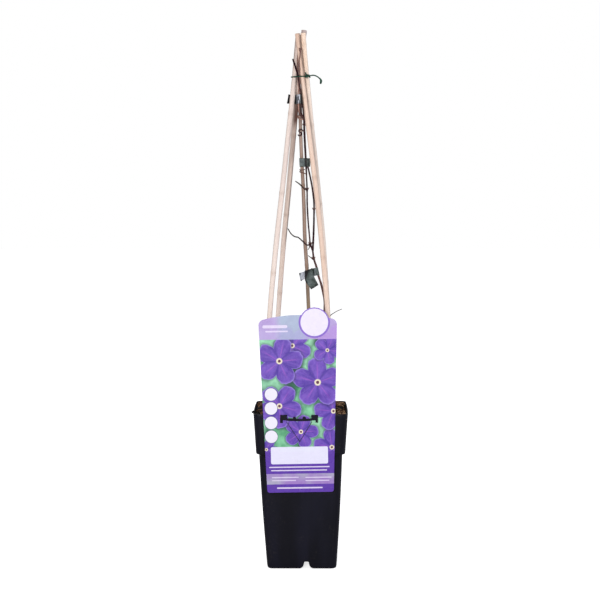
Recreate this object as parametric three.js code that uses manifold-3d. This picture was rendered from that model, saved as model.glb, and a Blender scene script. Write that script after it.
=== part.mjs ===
// A young climbing plant, leafless, tied to five bamboo canes in a tall square nursery pot that
// carries a picture label on its rim. Millimetres, +Z up, the label faces -Y, the pot's foot is z = 0.
import * as THREE from 'three';
import { mergeVertices } from 'three/addons/utils/BufferGeometryUtils.js';
import Module from 'manifold-3d';

const wasm = await Module();
wasm.setup();

// ---- Driving dimensions -----------------------------------------------------------------------

const GAP = 0.3;                  // between pieces that touch

const RIM_HALF = 65;              // the pot is 130 mm square across its rim
const POT_HEIGHT = 220;
const RIM_BOW = 1;                // how far the sides at -X and +X bow out between the corners
const COLLAR_FOOT_HALF = 61.4;    // the collar at its lower edge
const COLLAR_BOTTOM = 163.2;      // height of the step under the collar
const BODY_TOP_HALF = 57.5;       // the body just under the collar
const BODY_BULGE = 0.8;           // how far the mix pushes the body's walls out at half their height
const BASE_HALF = 48.1;
const BASE_SHIFT = 1.7;           // the soft body stands a little to the right of its rim
const WALL = 1.2;
const CORNER = 8;                 // radius of the pot's upright edges at the rim
const EDGE = 1.6;                 // rounding of the collar's lower edge
const HEEL = 3;                   // rounding where wall and base meet

const CHANNEL_HEIGHT = 9.8;       // drain channels that part the base into four feet
const CHANNEL_HALF = 3.8;
const CHANNEL_MOUTH_HALF = 8.4;
const CHANNEL_X = 8;
const DRAIN_RADIUS = 4.5;
const DRAIN_PLACE = 22;

const SOIL_LEVEL = 214.5;
const SOIL_CROWN = 2.2;
const SOIL_ROUGHNESS = 0.9;
const SOIL_CELLS = 17;

const LABEL_THICK = 0.7;
const LABEL_FOOT_Z = 112.2;       // height of the label's lower edge
const LABEL_LEAN = THREE.MathUtils.degToRad(1);
const LABEL_FOOT_HALF = 45.7;
const LABEL_TAPER = 0.0344;       // half width gained for each mm up
const LABEL_SIDE = 231;           // length of the straight sides
const LABEL_SHOULDER = [47, 239.4];
const LABEL_CROWN = 245;
const LABEL_CORNER = 3.7;
const ROUNDEL = { x: 22.8, z: 234.6, radius: 20.5 };
const TONGUE = { half: 17.5, top: 98, tip: 70.3, kerf: 0.6 };

const HOOK_PROUD = 1.9;           // how far the hooks stand out of the label's face
const HOOKS = [
  { outer: -27.9, inner: -18.8, top: 219.4, foot: 212.3, prong: 3.2, prongFoot: 208.6 },
  { outer: 23.7, inner: 14.9, top: 219.4, foot: 212.3, prong: -2.9, prongFoot: 209.2 },
];
const BAR = { thick: 3.1, endZ: 213.4, midZ: 212 };
const BAR_BEADS = [{ x: -8.5, z: 215.2 }, { x: 4.9, z: 215.2 }];
const BEAD_RADIUS = 2.2;

const LABEL_BACK = RIM_HALF + GAP;
const LABEL_FRONT = LABEL_BACK + LABEL_THICK;
const HOOK_FRONT = LABEL_FRONT + HOOK_PROUD;

const CANE_SIDES = 10;
const CANE_RING_STEP = 112;       // spacing of the joints along a bamboo cane
const CANE_RING_HALF = 3;         // half the width of the swelling at a joint
const CANE_RING_SWELL = 0.45;
const CANES = {
  cane_front_left: {
    foot: 3.75, tip: 3.45, firstRing: 66,
    route: [[-40, -38, 12], [-46.5, -44, 215], [-47.1, -43.5, 252], [-46, -41, 300], [-43.3, -36, 361.6],
      [-35.1, -26, 452.7], [-26.9, -17, 527.5], [-18, -8, 610.8], [-11.9, -1, 666.6], [-10.1, 0, 684.7],
      [-7.7, 2, 708.3], [-3.9, 4.6, 743.2]],
  },
  cane_back_left: {
    foot: 3.55, tip: 3.65, firstRing: 35,
    route: [[-33, 38, 12], [-38, 43, 215], [-38.2, 42, 262], [-36.5, 38.5, 310], [-33.1, 34, 356],
      [-26.3, 26, 442.4], [-17.7, 19, 527.7], [-9.8, 12, 611.8], [-4.7, 9, 667.4], [-3, 8.5, 685.4],
      [-1.1, 9, 709], [4.6, 10.5, 750.2]],
  },
  cane_front_right: {
    foot: 3.7, tip: 3.1, firstRing: 88,
    route: [[35, -37, 12], [41, -41.5, 215], [41.5, -40.5, 260], [39.7, -37, 310], [36.4, -32, 361.3],
      [28.3, -24, 458.2], [19.4, -16, 541.3], [8.9, -10, 624.6], [3.8, -7, 666.2], [1.9, -6.5, 684.1],
      [-1.4, -6.5, 714.4], [-4.9, -6.5, 743.9]],
  },
  cane_back_right: {
    foot: 3.7, tip: 3.3, firstRing: 50,
    route: [[37, 38, 12], [41, 42, 215], [41.1, 41.5, 262], [40.4, 39.5, 310], [38.3, 36, 355.9],
      [31.3, 27, 456.7], [23, 18, 541.8], [14.1, 9, 625.6], [10.1, 4, 667], [8.3, 3, 684.9],
      [5.1, 2, 715.2], [2.9, 2, 745.6]],
  },
  cane_centre: {
    foot: 3, tip: 2.5, firstRing: 74,
    route: [[15, 8, 12], [16.2, 8, 215], [14.6, 7.5, 285], [10.5, 6, 365.3], [8.5, 6, 414.9],
      [5.6, 5, 457.3], [4.4, 5, 499.5], [2.7, 4, 541.6], [0.4, 3.5, 583.5], [-0.9, 3, 625.3],
      [-1.5, 2.5, 655]],
  },
};

const STEM_SIDES = 6;
const STEM_FOOT_RADIUS = 2;
// Each shoot: its route from root to tip, its radius at both ends, and its number of steps.
const SHOOTS = {
  leader: {
    radii: [STEM_FOOT_RADIUS, 1.05], steps: 34,
    route: [[22, -7, 182], [23, -8, 214], [29, -12, 300], [33.4, -16, 370.6], [31.6, -14, 382.6],
      [28.2, -12, 396.7], [24.6, -9, 407.7], [21.8, -7, 419.8], [18, -5, 431.9], [16.6, -4, 442.2],
      [13.2, -3, 451.7], [12.1, -2, 462], [10.4, -1, 480.8], [8.8, 0, 508], [8.6, 0, 528],
      [8.2, 0, 545.7], [7.1, -1, 573.6], [6.1, -1, 592.4], [4.7, -1, 611.2], [4.7, -1.5, 624.3],
      [3.7, -2, 638.3], [0.7, -2.7, 656.8], [-1.4, -3.6, 670.5]],
  },
  leader_tip: {
    radii: [1.05, 0.8], steps: 9,
    route: [[-1.4, -3.6, 670.5], [-3.6, -4.4, 684.3], [-5.8, -4.6, 692.5], [-11.5, -4.4, 709.3]],
  },
  bypass: {
    radii: [1.15, 1.05], steps: 16,
    route: [[16.6, -4, 442.2], [17.4, -6, 457.7], [17.9, -7, 471.7], [18.3, -8, 489.9], [18.3, -8, 510.2],
      [17.3, -8, 519.6], [15.5, -7, 531.7], [12.3, -5, 545.7], [7.6, -0.8, 563]],
  },
  second_tip: {
    radii: [1.05, 0.85], steps: 16,
    route: [[4.6, -1.5, 625], [1, -2.3, 628.5], [-1.5, -2, 632.5], [-2.5, -1.6, 641],
      [-2.6, -2.2, 652], [-1.9, -3.6, 663.6], [-4.9, -6, 684.2], [-5, -7.4, 696.6],
      [-4, -10.2, 705.2], [-1.8, -11.7, 718.1], [-0.4, -12, 723]],
  },
  inner_shoot: {
    radii: [1, 0.85], steps: 14,
    route: [[4.6, -1.5, 625], [2.2, -3, 631], [0.6, -2.8, 640], [-0.8, -2.5, 652], [-3.2, -2.2, 664], [-6.1, -3.4, 685], [-5.9, -4.4, 704], [-6.3, -4.5, 715]],
  },
  side_twig_high: {
    radii: [0.8, 0.55], steps: 8,
    route: [[8.6, 0, 528], [4.4, -4, 529.5], [-2, -6, 535.9], [-7.8, -8, 539.9]],
  },
  side_twig_low: {
    radii: [0.8, 0.5], steps: 14,
    route: [[13.2, -3, 451.7], [9, -3, 450.3], [2, -4, 456.3], [-3.7, 0, 461], [-9, 6, 462.2],
      [-14.3, 12.5, 466.3], [-18.6, 17.6, 473.2]],
  },
  stub_upper: {
    radii: [0.8, 0.6], steps: 3,
    route: [[13.2, -3, 451.7], [11.6, -2.6, 446.4], [9.6, -2, 443.4]],
  },
  stub_lower: {
    radii: [0.8, 0.6], steps: 3,
    route: [[17.6, -4.8, 430.6], [13.4, -3, 433.2], [10.2, -1.4, 435.8]],
  },
  leaf_stalk: {
    radii: [0.8, 0.5], steps: 8,
    route: [[30.8, -13.6, 330], [35, -6, 343], [41.5, 1, 350.7], [49.5, 2, 356.2], [58.2, 2, 360.2]],
  },
};
// Curled leaf stalks that hold the leader to the centre cane: height, turns and climb for each.
const TENDRILS = [
  { z: 552, turns: 1.3, climb: 4.5 },
  { z: 607, turns: 1.6, climb: 5.5 },
  { z: 630.5, turns: 1.1, climb: 3 },
];
const TENDRIL_RADIUS = 0.6;
// Swollen joints of the stems, each with a pair of buds: place, and the joint's radius.
const STEM_JOINTS = [
  { at: [8.6, 0, 528], radius: 1.8 },
  { at: [13.2, -3, 451.7], radius: 1.9 },
  { at: [17.8, -4.9, 431.2], radius: 1.7 },
  { at: [-0.4, -12, 723], radius: 1.9 },
  { at: [30.8, -13.6, 330], radius: 2 },
  { at: [4.7, -1.2, 617], radius: 1.5 },
  { at: [18.3, -8, 500], radius: 1.5 },
];
const BUD_LENGTH = 2.6;

const WIRE_RADIUS = 0.7;
const WIRE_Z = 685;
const WIRE_SLACK = 0.35;
const WIRE_KNOT = [7.6, -7.8, 685.4];
const WIRE_LONG_TAIL = [[11.3, -9.2, 686.4], [17.8, -9.8, 686.2], [23.3, -9.8, 684], [27.8, -9.6, 679.4],
  [27.3, -9.6, 674.3]];
const WIRE_SHORT_TAIL = [[10.2, -8.8, 684.4], [12.8, -8.6, 683]];
const WIRE_TWIST = [1.7, 1.5, 2.5];

const TAPE_THICK = 0.6;
const LEAN_ROOM = 0.25;           // a leaning rod's level section is a little wider than the rod
// Plastic tape that binds shoots to canes. A flap has its two free corners' places, upper one first,
// and its root: either the angle on the band and how far the root's corners lie above the band's
// middle, or the places of both corners.
const TAPES = {
  tape_top: {
    z: 654, tall: 12, canes: ['cane_back_left', 'cane_centre'],
    shoots: ['leader', 'second_tip', 'inner_shoot'],
    flaps: [{ angle: 150, root: [5.5, -5.5], ends: [[-17.4, 6.4, 661], [-18, 6.2, 649]] }],
  },
  tape_middle: {
    z: 566, tall: 12, canes: ['cane_centre'], shoots: ['leader', 'bypass'],
    flaps: [{ angle: -35, root: [5.8, -5.8], ends: [[14, -4.4, 571.8], [13.8, -4.6, 559.8]] }],
  },
  tape_low: {
    z: 409, tall: 11, canes: ['cane_centre'], shoots: ['leader'],
    flaps: [
      { angle: 120, root: [4.6, -5.2], ends: [[-2.8, 11.6, 410.2], [-0.2, 11.2, 398.6]] },
      { corners: [[11, -0.3, 413.4], [7.3, 2.3, 400.2]], ends: [[24.8, -12.6, 395], [14.4, -9.6, 388.4]] },
    ],
  },
};

// ---- Solids ------------------------------------------------------------------------------------

/** A closed three.js geometry as a solid that can be joined and cut. */
function solidOf(geometry) {
  geometry.deleteAttribute('normal');
  geometry.deleteAttribute('uv');
  const merged = mergeVertices(geometry, 1e-4);
  const mesh = new wasm.Mesh({
    numProp: 3,
    vertProperties: new Float32Array(merged.attributes.position.array),
    triVerts: new Uint32Array(merged.index.array),
  });
  return new wasm.Manifold(mesh);
}

/** A solid as a three.js geometry. */
function geometryOf(solid) {
  const mesh = solid.getMesh();
  const geometry = new THREE.BufferGeometry();
  geometry.setAttribute('position', new THREE.BufferAttribute(new Float32Array(mesh.vertProperties), 3));
  geometry.setIndex(new THREE.BufferAttribute(new Uint32Array(mesh.triVerts), 1));
  return geometry;
}

function fuse(solids) {
  return solids.reduce((whole, solid) => whole.add(solid));
}

/** Moves each vertex of a geometry by a function of its place. */
function reshape(geometry, move) {
  const position = geometry.attributes.position;
  const point = new THREE.Vector3();
  for (let i = 0; i < position.count; i += 1) {
    point.fromBufferAttribute(position, i);
    move(point);
    position.setXYZ(i, point.x, point.y, point.z);
  }
  return geometry;
}

/** A flat outline drawn in X and Z, carried from y = -front to y = -back. */
function uprightPlate(shape, back, front) {
  const options = { depth: front - back, bevelEnabled: false, curveSegments: 10 };
  const geometry = new THREE.ExtrudeGeometry(shape, options);
  geometry.rotateX(Math.PI / 2);
  geometry.translate(0, -back, 0);
  return geometry;
}

function polygon(points) {
  return new THREE.Shape(points.map(([x, y]) => new THREE.Vector2(x, y)));
}

/** A smooth curve through a list of points. */
function routeCurve(points) {
  const places = points.map((point) => new THREE.Vector3(...point));
  return new THREE.CatmullRomCurve3(places, false, 'centripetal');
}

/** A rod of changing thickness: a regular section is carried along the curve, and each ring is then
 *  set at its own distance along it, with its own radius. Stations are [share of length, radius]. */
function rod(curve, stations, sides) {
  const unit = 0.5;
  const steps = stations.length - 1;
  const section = polygon(Array.from({ length: sides }, (_, side) => {
    const angle = (2 * Math.PI * side) / sides;
    return [unit * Math.cos(angle), unit * Math.sin(angle)];
  }));
  const geometry = new THREE.ExtrudeGeometry(section, { steps, extrudePath: curve, bevelEnabled: false });
  const centres = curve.getSpacedPoints(steps);
  return reshape(geometry, (point) => {
    const spans = centres.map((centre) => centre.distanceToSquared(point));
    const ring = spans.indexOf(Math.min(...spans));
    const [share, radius] = stations[ring];
    point.sub(centres[ring]).multiplyScalar(radius / unit).add(curve.getPointAt(share));
  });
}

/** Stations spread evenly along a rod whose radius changes evenly. */
function evenStations(steps, [first, last]) {
  return Array.from({ length: steps + 1 }, (_, i) => [i / steps, first + ((last - first) * i) / steps]);
}

/** The share of an upward curve's length at which it passes a height. */
function shareAtHeight(curve, height) {
  let low = 0;
  let high = 1;
  for (let i = 0; i < 24; i += 1) {
    const middle = (low + high) / 2;
    if (curve.getPointAt(middle).z < height) low = middle;
    else high = middle;
  }
  return low;
}

function pointAtHeight(curve, height) {
  return curve.getPointAt(shareAtHeight(curve, height));
}

/** The convex outline round a set of circles [x, y, radius], each widened by a margin. */
function outlineRound(circles, margin, corners = 14) {
  const points = circles.flatMap(([x, y, radius]) => Array.from({ length: corners }, (_, i) => {
    const angle = (2 * Math.PI * i) / corners;
    const reach = (radius + margin) / Math.cos(Math.PI / corners);
    return [x + reach * Math.cos(angle), y + reach * Math.sin(angle)];
  }));
  points.sort((a, b) => a[0] - b[0] || a[1] - b[1]);
  const turn = (a, b, c) => (b[0] - a[0]) * (c[1] - a[1]) - (b[1] - a[1]) * (c[0] - a[0]);
  const half = (ordered) => {
    const chain = [];
    for (const point of ordered) {
      while (chain.length > 1 && turn(chain.at(-2), chain.at(-1), point) <= 1e-6) chain.pop();
      chain.push(point);
    }
    chain.pop();
    return chain;
  };
  return [...half(points), ...half([...points].reverse())];
}

// ---- Pot ---------------------------------------------------------------------------------------

/** The pot's outside, drawn in by an inset: a rounded square carried up a profile of heights and half
 *  widths, with the drain channels cut out of its base. */
function potForm(inset, top = POT_HEIGHT) {
  const collarSlope = (RIM_HALF - COLLAR_FOOT_HALF) / (POT_HEIGHT - COLLAR_BOTTOM);
  const bodySlope = (BODY_TOP_HALF - BASE_HALF) / COLLAR_BOTTOM;
  const step = COLLAR_BOTTOM + inset;
  const wallHalf = (height) => (
    BASE_HALF + bodySlope * height + BODY_BULGE * Math.sin((Math.PI * height) / COLLAR_BOTTOM) - inset);
  const profile = [
    [inset, BASE_HALF - 0.7 * HEEL - inset],
    [inset + 0.3 * HEEL, BASE_HALF - 0.2 * HEEL - inset],
    ...[HEEL + inset, 30, 60, 90, 125].map((height) => [height, wallHalf(height)]),
    [step, BODY_TOP_HALF - inset],
    [step, COLLAR_FOOT_HALF - EDGE - inset],
    [step + 0.3 * EDGE, COLLAR_FOOT_HALF - 0.3 * EDGE - inset],
    [step + EDGE, COLLAR_FOOT_HALF + collarSlope * EDGE - inset],
    [top, RIM_HALF + collarSlope * (top - POT_HEIGHT) - inset],
  ];
  const reach = RIM_HALF - CORNER;
  const round = CORNER - inset;
  const side = reach + round;
  const section = new THREE.Shape();
  section.absarc(reach, reach, round, 0, Math.PI / 2);
  section.absarc(-reach, reach, round, Math.PI / 2, Math.PI);
  section.quadraticCurveTo(-side - 2 * RIM_BOW, 0, -side, -reach);
  section.absarc(-reach, -reach, round, Math.PI, 1.5 * Math.PI);
  section.absarc(reach, -reach, round, 1.5 * Math.PI, 2 * Math.PI);
  section.quadraticCurveTo(side + 2 * RIM_BOW, 0, side, reach);
  const steps = profile.length - 1;
  const options = { depth: steps, steps, bevelEnabled: false, curveSegments: 5 };
  const loft = reshape(new THREE.ExtrudeGeometry(section, options), (point) => {
    const [height, half] = profile[Math.round(point.z)];
    const scale = half / (RIM_HALF - inset);
    const shift = BASE_SHIFT * Math.max(0, 1 - height / COLLAR_BOTTOM);
    point.set(point.x * scale + shift, point.y * scale, height);
  });
  return solidOf(loft).subtract(channels(inset));
}

/** The crossing drain channels under the base, widened by the same amount as the pot is drawn in. */
function channels(grow) {
  const mouth = CHANNEL_MOUTH_HALF + grow;
  const neck = CHANNEL_HALF + grow;
  const top = CHANNEL_HEIGHT + grow;
  const right = [[mouth, -1], [mouth, 0.2], [neck + 2.4, 1.4], [neck + 0.8, 3.2], [neck, 5.4],
    [neck, top - 1.2], [neck - 1.2, top]];
  const left = right.map(([x, z]) => [-x, z]).reverse();
  const section = polygon([...right, ...left]);
  const lengthwise = uprightPlate(section, -RIM_HALF, RIM_HALF);
  const crosswise = lengthwise.clone().rotateZ(Math.PI / 2);
  lengthwise.translate(CHANNEL_X, 0, 0);
  return solidOf(lengthwise).add(solidOf(crosswise));
}

/** One hook of the label holder, an L on its side whose prong points down on the outer side. */
function hookShape({ outer, inner, top, foot, prong, prongFoot }, grow = 0) {
  const side = Math.sign(outer - inner) * grow;
  const prongInner = outer + prong - side;
  return polygon([[outer + side, top + grow], [outer + side, prongFoot - grow],
    [prongInner, prongFoot - grow], [prongInner, foot - grow],
    [inner - side, foot - grow], [inner - side, top + grow]]);
}

function hookSolid(hook, back, front, grow = 0) {
  return solidOf(uprightPlate(hookShape(hook, grow), back, front));
}

/** The sagging bar that joins the hooks in front of the label, with its two beads. */
function barSolid() {
  const [left, right] = HOOKS;
  const ends = [left.inner - 1, right.inner + 1];
  const middle = (ends[0] + ends[1]) / 2;
  const shape = new THREE.Shape();
  shape.moveTo(ends[0], BAR.endZ - BAR.thick / 2);
  shape.quadraticCurveTo(middle, 2 * BAR.midZ - BAR.endZ - BAR.thick / 2, ends[1], BAR.endZ - BAR.thick / 2);
  shape.lineTo(ends[1], BAR.endZ + BAR.thick / 2);
  shape.quadraticCurveTo(middle, 2 * BAR.midZ - BAR.endZ + BAR.thick / 2, ends[0], BAR.endZ + BAR.thick / 2);
  const bar = solidOf(uprightPlate(shape, LABEL_FRONT + GAP, HOOK_FRONT));
  const beads = BAR_BEADS.map(({ x, z }) => {
    const disc = new THREE.Shape().absarc(x, z, BEAD_RADIUS, 0, 2 * Math.PI);
    return solidOf(uprightPlate(disc, LABEL_FRONT + GAP, HOOK_FRONT));
  });
  return fuse([bar, ...beads]);
}

function makePot() {
  let pot = potForm(0).subtract(potForm(WALL, POT_HEIGHT + 1));
  for (const x of [-1, 1]) {
    for (const y of [-1, 1]) {
      const drain = new THREE.CylinderGeometry(DRAIN_RADIUS, DRAIN_RADIUS, 4 * WALL, 16);
      drain.rotateX(Math.PI / 2);
      drain.translate(CHANNEL_X / 2 + x * DRAIN_PLACE, y * DRAIN_PLACE, 0);
      pot = pot.subtract(solidOf(drain));
    }
  }
  const hookRoot = RIM_HALF - 0.8 * WALL - 0.4;
  const hooks = HOOKS.map((hook) => hookSolid(hook, hookRoot, HOOK_FRONT));
  return fuse([pot, ...hooks, barSolid()]);
}

// ---- Label -------------------------------------------------------------------------------------

/** The label's outline: tapering sides, round lower corners and an arched head. */
function labelShape() {
  const sideHalf = LABEL_FOOT_HALF + LABEL_TAPER * LABEL_SIDE;
  const [shoulderX, shoulderZ] = LABEL_SHOULDER;
  const cornerHalf = LABEL_FOOT_HALF + LABEL_TAPER * LABEL_CORNER;
  const shape = new THREE.Shape();
  shape.moveTo(-LABEL_FOOT_HALF + LABEL_CORNER, 0);
  shape.lineTo(LABEL_FOOT_HALF - LABEL_CORNER, 0);
  shape.quadraticCurveTo(LABEL_FOOT_HALF, 0, cornerHalf, LABEL_CORNER);
  shape.lineTo(sideHalf, LABEL_SIDE);
  shape.quadraticCurveTo(sideHalf, shoulderZ - 2, shoulderX, shoulderZ);
  shape.quadraticCurveTo(shoulderX / 2, LABEL_CROWN, 0, LABEL_CROWN);
  shape.quadraticCurveTo(-shoulderX / 2, LABEL_CROWN, -shoulderX, shoulderZ);
  shape.quadraticCurveTo(-sideHalf, shoulderZ - 2, -sideHalf, LABEL_SIDE);
  shape.lineTo(-cornerHalf, LABEL_CORNER);
  shape.quadraticCurveTo(-LABEL_FOOT_HALF, 0, -LABEL_FOOT_HALF + LABEL_CORNER, 0);
  return shape;
}

/** The cut that frees the label's pointed tongue on its two lower sides. */
function tongueCut() {
  const { half, top, tip, kerf } = TONGUE;
  const rise = (kerf / 2) * Math.hypot(half, top - tip) / half;
  return polygon([[-half, top + rise], [0, tip + rise], [half, top + rise], [half, top - rise],
    [0, tip - rise], [-half, top - rise]]);
}

function makeLabel() {
  const cut = [LABEL_BACK - 1, LABEL_FRONT + 1];
  const roundel = new THREE.Shape().absarc(ROUNDEL.x, ROUNDEL.z, ROUNDEL.radius, 0, 2 * Math.PI);
  const plates = [labelShape(), roundel].map((shape) => uprightPlate(shape, LABEL_BACK, LABEL_FRONT));
  const tongue = uprightPlate(tongueCut(), ...cut);
  for (const geometry of [...plates, tongue]) {
    geometry.rotateY(-LABEL_LEAN);
    geometry.translate(0, 0, LABEL_FOOT_Z);
  }
  const [plate, disc] = plates.map(solidOf);
  const hooks = fuse(HOOKS.map((hook) => hookSolid(hook, ...cut, GAP)));
  return plate.add(disc).subtract(solidOf(tongue)).subtract(hooks);
}

// ---- Canes, soil and plant -----------------------------------------------------------------------

const curvesOf = (pieces) => (
  Object.fromEntries(Object.entries(pieces).map(([name, { route }]) => [name, routeCurve(route)])));
const caneCurves = curvesOf(CANES);
const shootCurves = curvesOf(SHOOTS);

/** A cane's rings: two plain ones between its joints, and a swollen band of three at each joint. */
function caneStations({ foot, tip, firstRing }, length, widen = 0) {
  const distances = [[0, 0]];
  const plainUpTo = (end) => {
    const start = distances.at(-1)[0];
    distances.push([start + (end - start) / 3, 0], [start + (2 * (end - start)) / 3, 0]);
  };
  for (let ring = firstRing; ring < length - 4 * CANE_RING_HALF; ring += CANE_RING_STEP) {
    plainUpTo(ring - CANE_RING_HALF);
    distances.push([ring - CANE_RING_HALF, 0], [ring, CANE_RING_SWELL], [ring + CANE_RING_HALF, 0]);
  }
  plainUpTo(length);
  distances.push([length, 0]);
  return distances.map(([distance, swell]) => (
    [distance / length, foot + ((tip - foot) * distance) / length + swell + widen]));
}

function caneSolid(name, widen = 0) {
  const curve = caneCurves[name];
  return solidOf(rod(curve, caneStations(CANES[name], curve.getLength(), widen), CANE_SIDES));
}

/** A block whose upper face is the soil's crowned and lumpy surface. */
function soilCover() {
  const side = 2 * RIM_HALF;
  const block = new THREE.BoxGeometry(side, side, SOIL_LEVEL + 10, SOIL_CELLS, SOIL_CELLS, 1);
  block.translate(0, 0, (SOIL_LEVEL + 10) / 2 - 10);
  return reshape(block, (point) => {
    if (point.z < 0) return;
    const { x, y } = point;
    const lumps = Math.sin(0.23 * x + 1.3) * Math.cos(0.19 * y) + Math.sin(0.41 * y - 0.12 * x)
      + 0.8 * Math.sin(0.67 * x + 0.31 * y + 2) * Math.sin(0.53 * y);
    const crown = Math.max(0, 1 - (x * x + y * y) / (RIM_HALF * RIM_HALF));
    point.z = SOIL_LEVEL + SOIL_CROWN * crown + SOIL_ROUGHNESS * lumps;
  });
}

/** The potting mix fills the pot, with a plain hole for each cane and for the plant's stem. */
function makeSoil() {
  let soil = potForm(WALL + GAP, POT_HEIGHT + 1).intersect(solidOf(soilCover()));
  for (const [name, { foot }] of Object.entries(CANES)) {
    soil = soil.subtract(caneSolid(name, GAP)).subtract(wellUnder(caneCurves[name], foot + GAP));
  }
  const { steps, radii } = SHOOTS.leader;
  const wide = radii.map((radius) => radius + GAP);
  const stem = solidOf(rod(shootCurves.leader, evenStations(steps, wide), STEM_SIDES));
  return soil.subtract(stem).subtract(wellUnder(shootCurves.leader, wide[0]));
}

/** Clearance under the foot of a cane or stem, so that it doesn't touch the bottom of its hole. */
function wellUnder(curve, radius) {
  const foot = curve.getPoint(0);
  const reach = radius / Math.cos(Math.PI / CANE_SIDES);
  const well = new THREE.CylinderGeometry(reach, reach, 4 * GAP, CANE_SIDES);
  well.rotateX(Math.PI / 2);
  well.translate(foot.x, foot.y, foot.z + GAP / 2);
  return solidOf(well);
}

/** A curled leaf stalk: from the leader to the centre cane, which it meets along a tangent, and then
 *  round it in a climbing turn. */
function tendril({ z, turns, climb }) {
  const cane = pointAtHeight(caneCurves.cane_centre, z);
  const start = pointAtHeight(shootCurves.leader, z - 3);
  const reach = CANES.cane_centre.foot + 2 * GAP + TENDRIL_RADIUS;
  const [away, aside] = [start.x - cane.x, start.y - cane.y];
  const from = Math.atan2(aside, away) - Math.acos(reach / Math.hypot(away, aside));
  const count = Math.ceil(turns * 8);
  const coil = Array.from({ length: count + 1 }, (_, i) => {
    const share = i / count;
    const angle = from - 2 * Math.PI * turns * share;
    const centre = pointAtHeight(caneCurves.cane_centre, z + climb * share);
    return [centre.x + reach * Math.cos(angle), centre.y + reach * Math.sin(angle), centre.z];
  });
  const curve = routeCurve([start.toArray(), ...coil]);
  return solidOf(rod(curve, evenStations(count + 3, [0.75, TENDRIL_RADIUS]), 5));
}

/** A swollen stem joint with two opposite buds that point up and outwards. */
function stemJoint({ at, radius }) {
  const knot = new THREE.SphereGeometry(radius, 8, 6);
  knot.scale(1, 1, 1.25);
  const buds = [-1, 1].map((side) => {
    const bud = new THREE.ConeGeometry(0.6 * radius, BUD_LENGTH + radius, 6);
    bud.rotateX(Math.PI / 2);
    bud.translate(0, 0, (BUD_LENGTH + radius) / 2);
    bud.rotateY(side * 0.75);
    return bud;
  });
  const solids = [knot, ...buds].map((geometry) => solidOf(geometry.translate(...at)));
  return fuse(solids);
}

function makePlant() {
  const shoots = Object.entries(SHOOTS).map(([name, { steps, radii }]) => (
    solidOf(rod(shootCurves[name], evenStations(steps, radii), STEM_SIDES))));
  return fuse([...shoots, ...TENDRILS.map(tendril), ...STEM_JOINTS.map(stemJoint)]);
}

// ---- Ties --------------------------------------------------------------------------------------

/** The circles that canes and shoots make at some heights, as [x, y, radius]. */
function circlesAt(heights, canes, shoots) {
  const rods = [
    ...canes.map((name) => [caneCurves[name], CANES[name].foot, CANES[name].tip]),
    ...shoots.map((name) => [shootCurves[name], ...SHOOTS[name].radii]),
  ];
  return heights.flatMap((height) => rods.map(([curve, first, last]) => {
    const share = shareAtHeight(curve, height);
    const { x, y } = curve.getPointAt(share);
    return [x, y, first + (last - first) * share + LEAN_ROOM];
  }));
}

/** The coated wire round all four outer canes, twisted at the front, with its two loose ends. */
function makeWire() {
  const outer = Object.keys(CANES).filter((name) => name !== 'cane_centre');
  const loop = outlineRound(circlesAt([WIRE_Z], outer, []), GAP + WIRE_SLACK + WIRE_RADIUS);
  const spans = loop.map(([x, y]) => Math.hypot(x - WIRE_KNOT[0], y - WIRE_KNOT[1]));
  const start = spans.indexOf(Math.min(...spans));
  const round = [...loop.slice(start + 1), ...loop.slice(0, start)].map(([x, y]) => [x, y, WIRE_Z]);
  const lengths = [[[...round, WIRE_KNOT], 44], [WIRE_LONG_TAIL, 14], [WIRE_SHORT_TAIL, 5]];
  const wires = lengths.map(([route, steps]) => (
    solidOf(rod(routeCurve([WIRE_KNOT, ...route]), evenStations(steps, [WIRE_RADIUS, WIRE_RADIUS]), 6))));
  const twist = new THREE.SphereGeometry(1, 10, 8);
  twist.scale(...WIRE_TWIST);
  twist.translate(...WIRE_KNOT);
  return fuse([...wires, solidOf(twist)]);
}

/** A band of plastic tape round some circles, slanted as far as they shift for each mm up. */
function tapeBand(circles, slant, middle, tall) {
  const prism = (margin, height) => {
    const outline = polygon(outlineRound(circles, margin, 12));
    const geometry = new THREE.ExtrudeGeometry(outline, { depth: height, bevelEnabled: false });
    geometry.translate(0, 0, -height / 2);
    return solidOf(reshape(geometry, (point) => {
      point.set(point.x + slant[0] * point.z, point.y + slant[1] * point.z, point.z + middle);
    }));
  };
  return prism(GAP + TAPE_THICK, tall).subtract(prism(GAP, tall + 2));
}

/** The point of a band's wall that lies furthest towards an angle in degrees, 0 being +X. */
function bandPoint(circles, degrees) {
  const angle = THREE.MathUtils.degToRad(degrees);
  const [x, y] = [Math.cos(angle), Math.sin(angle)];
  const places = circles.map(([cx, cy, radius]) => {
    const reach = radius + GAP + TAPE_THICK / 2;
    return [cx + reach * x, cy + reach * y];
  });
  const along = (place) => place[0] * x + place[1] * y;
  return places.reduce((best, place) => (along(place) > along(best) ? place : best));
}

/** A flat flap of tape between four corners, given in order round its edge. */
function tapeFlap(corners) {
  const [a, b, , d] = corners.map((corner) => new THREE.Vector3(...corner));
  const normal = b.clone().sub(a).cross(d.clone().sub(a)).normalize().multiplyScalar(TAPE_THICK / 2);
  const faces = [1, -1].map((side) => (
    corners.map((corner) => new THREE.Vector3(...corner).addScaledVector(normal, side))));
  const points = [...faces[0], ...faces[1]].flatMap((point) => point.toArray());
  const geometry = new THREE.BufferGeometry();
  geometry.setAttribute('position', new THREE.Float32BufferAttribute(points, 3));
  const quad = (p, q, r, s) => [p, q, r, p, r, s];
  geometry.setIndex([...quad(0, 1, 2, 3), ...quad(7, 6, 5, 4), ...quad(0, 4, 5, 1), ...quad(1, 5, 6, 2),
    ...quad(2, 6, 7, 3), ...quad(3, 7, 4, 0)]);
  return solidOf(geometry);
}

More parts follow.
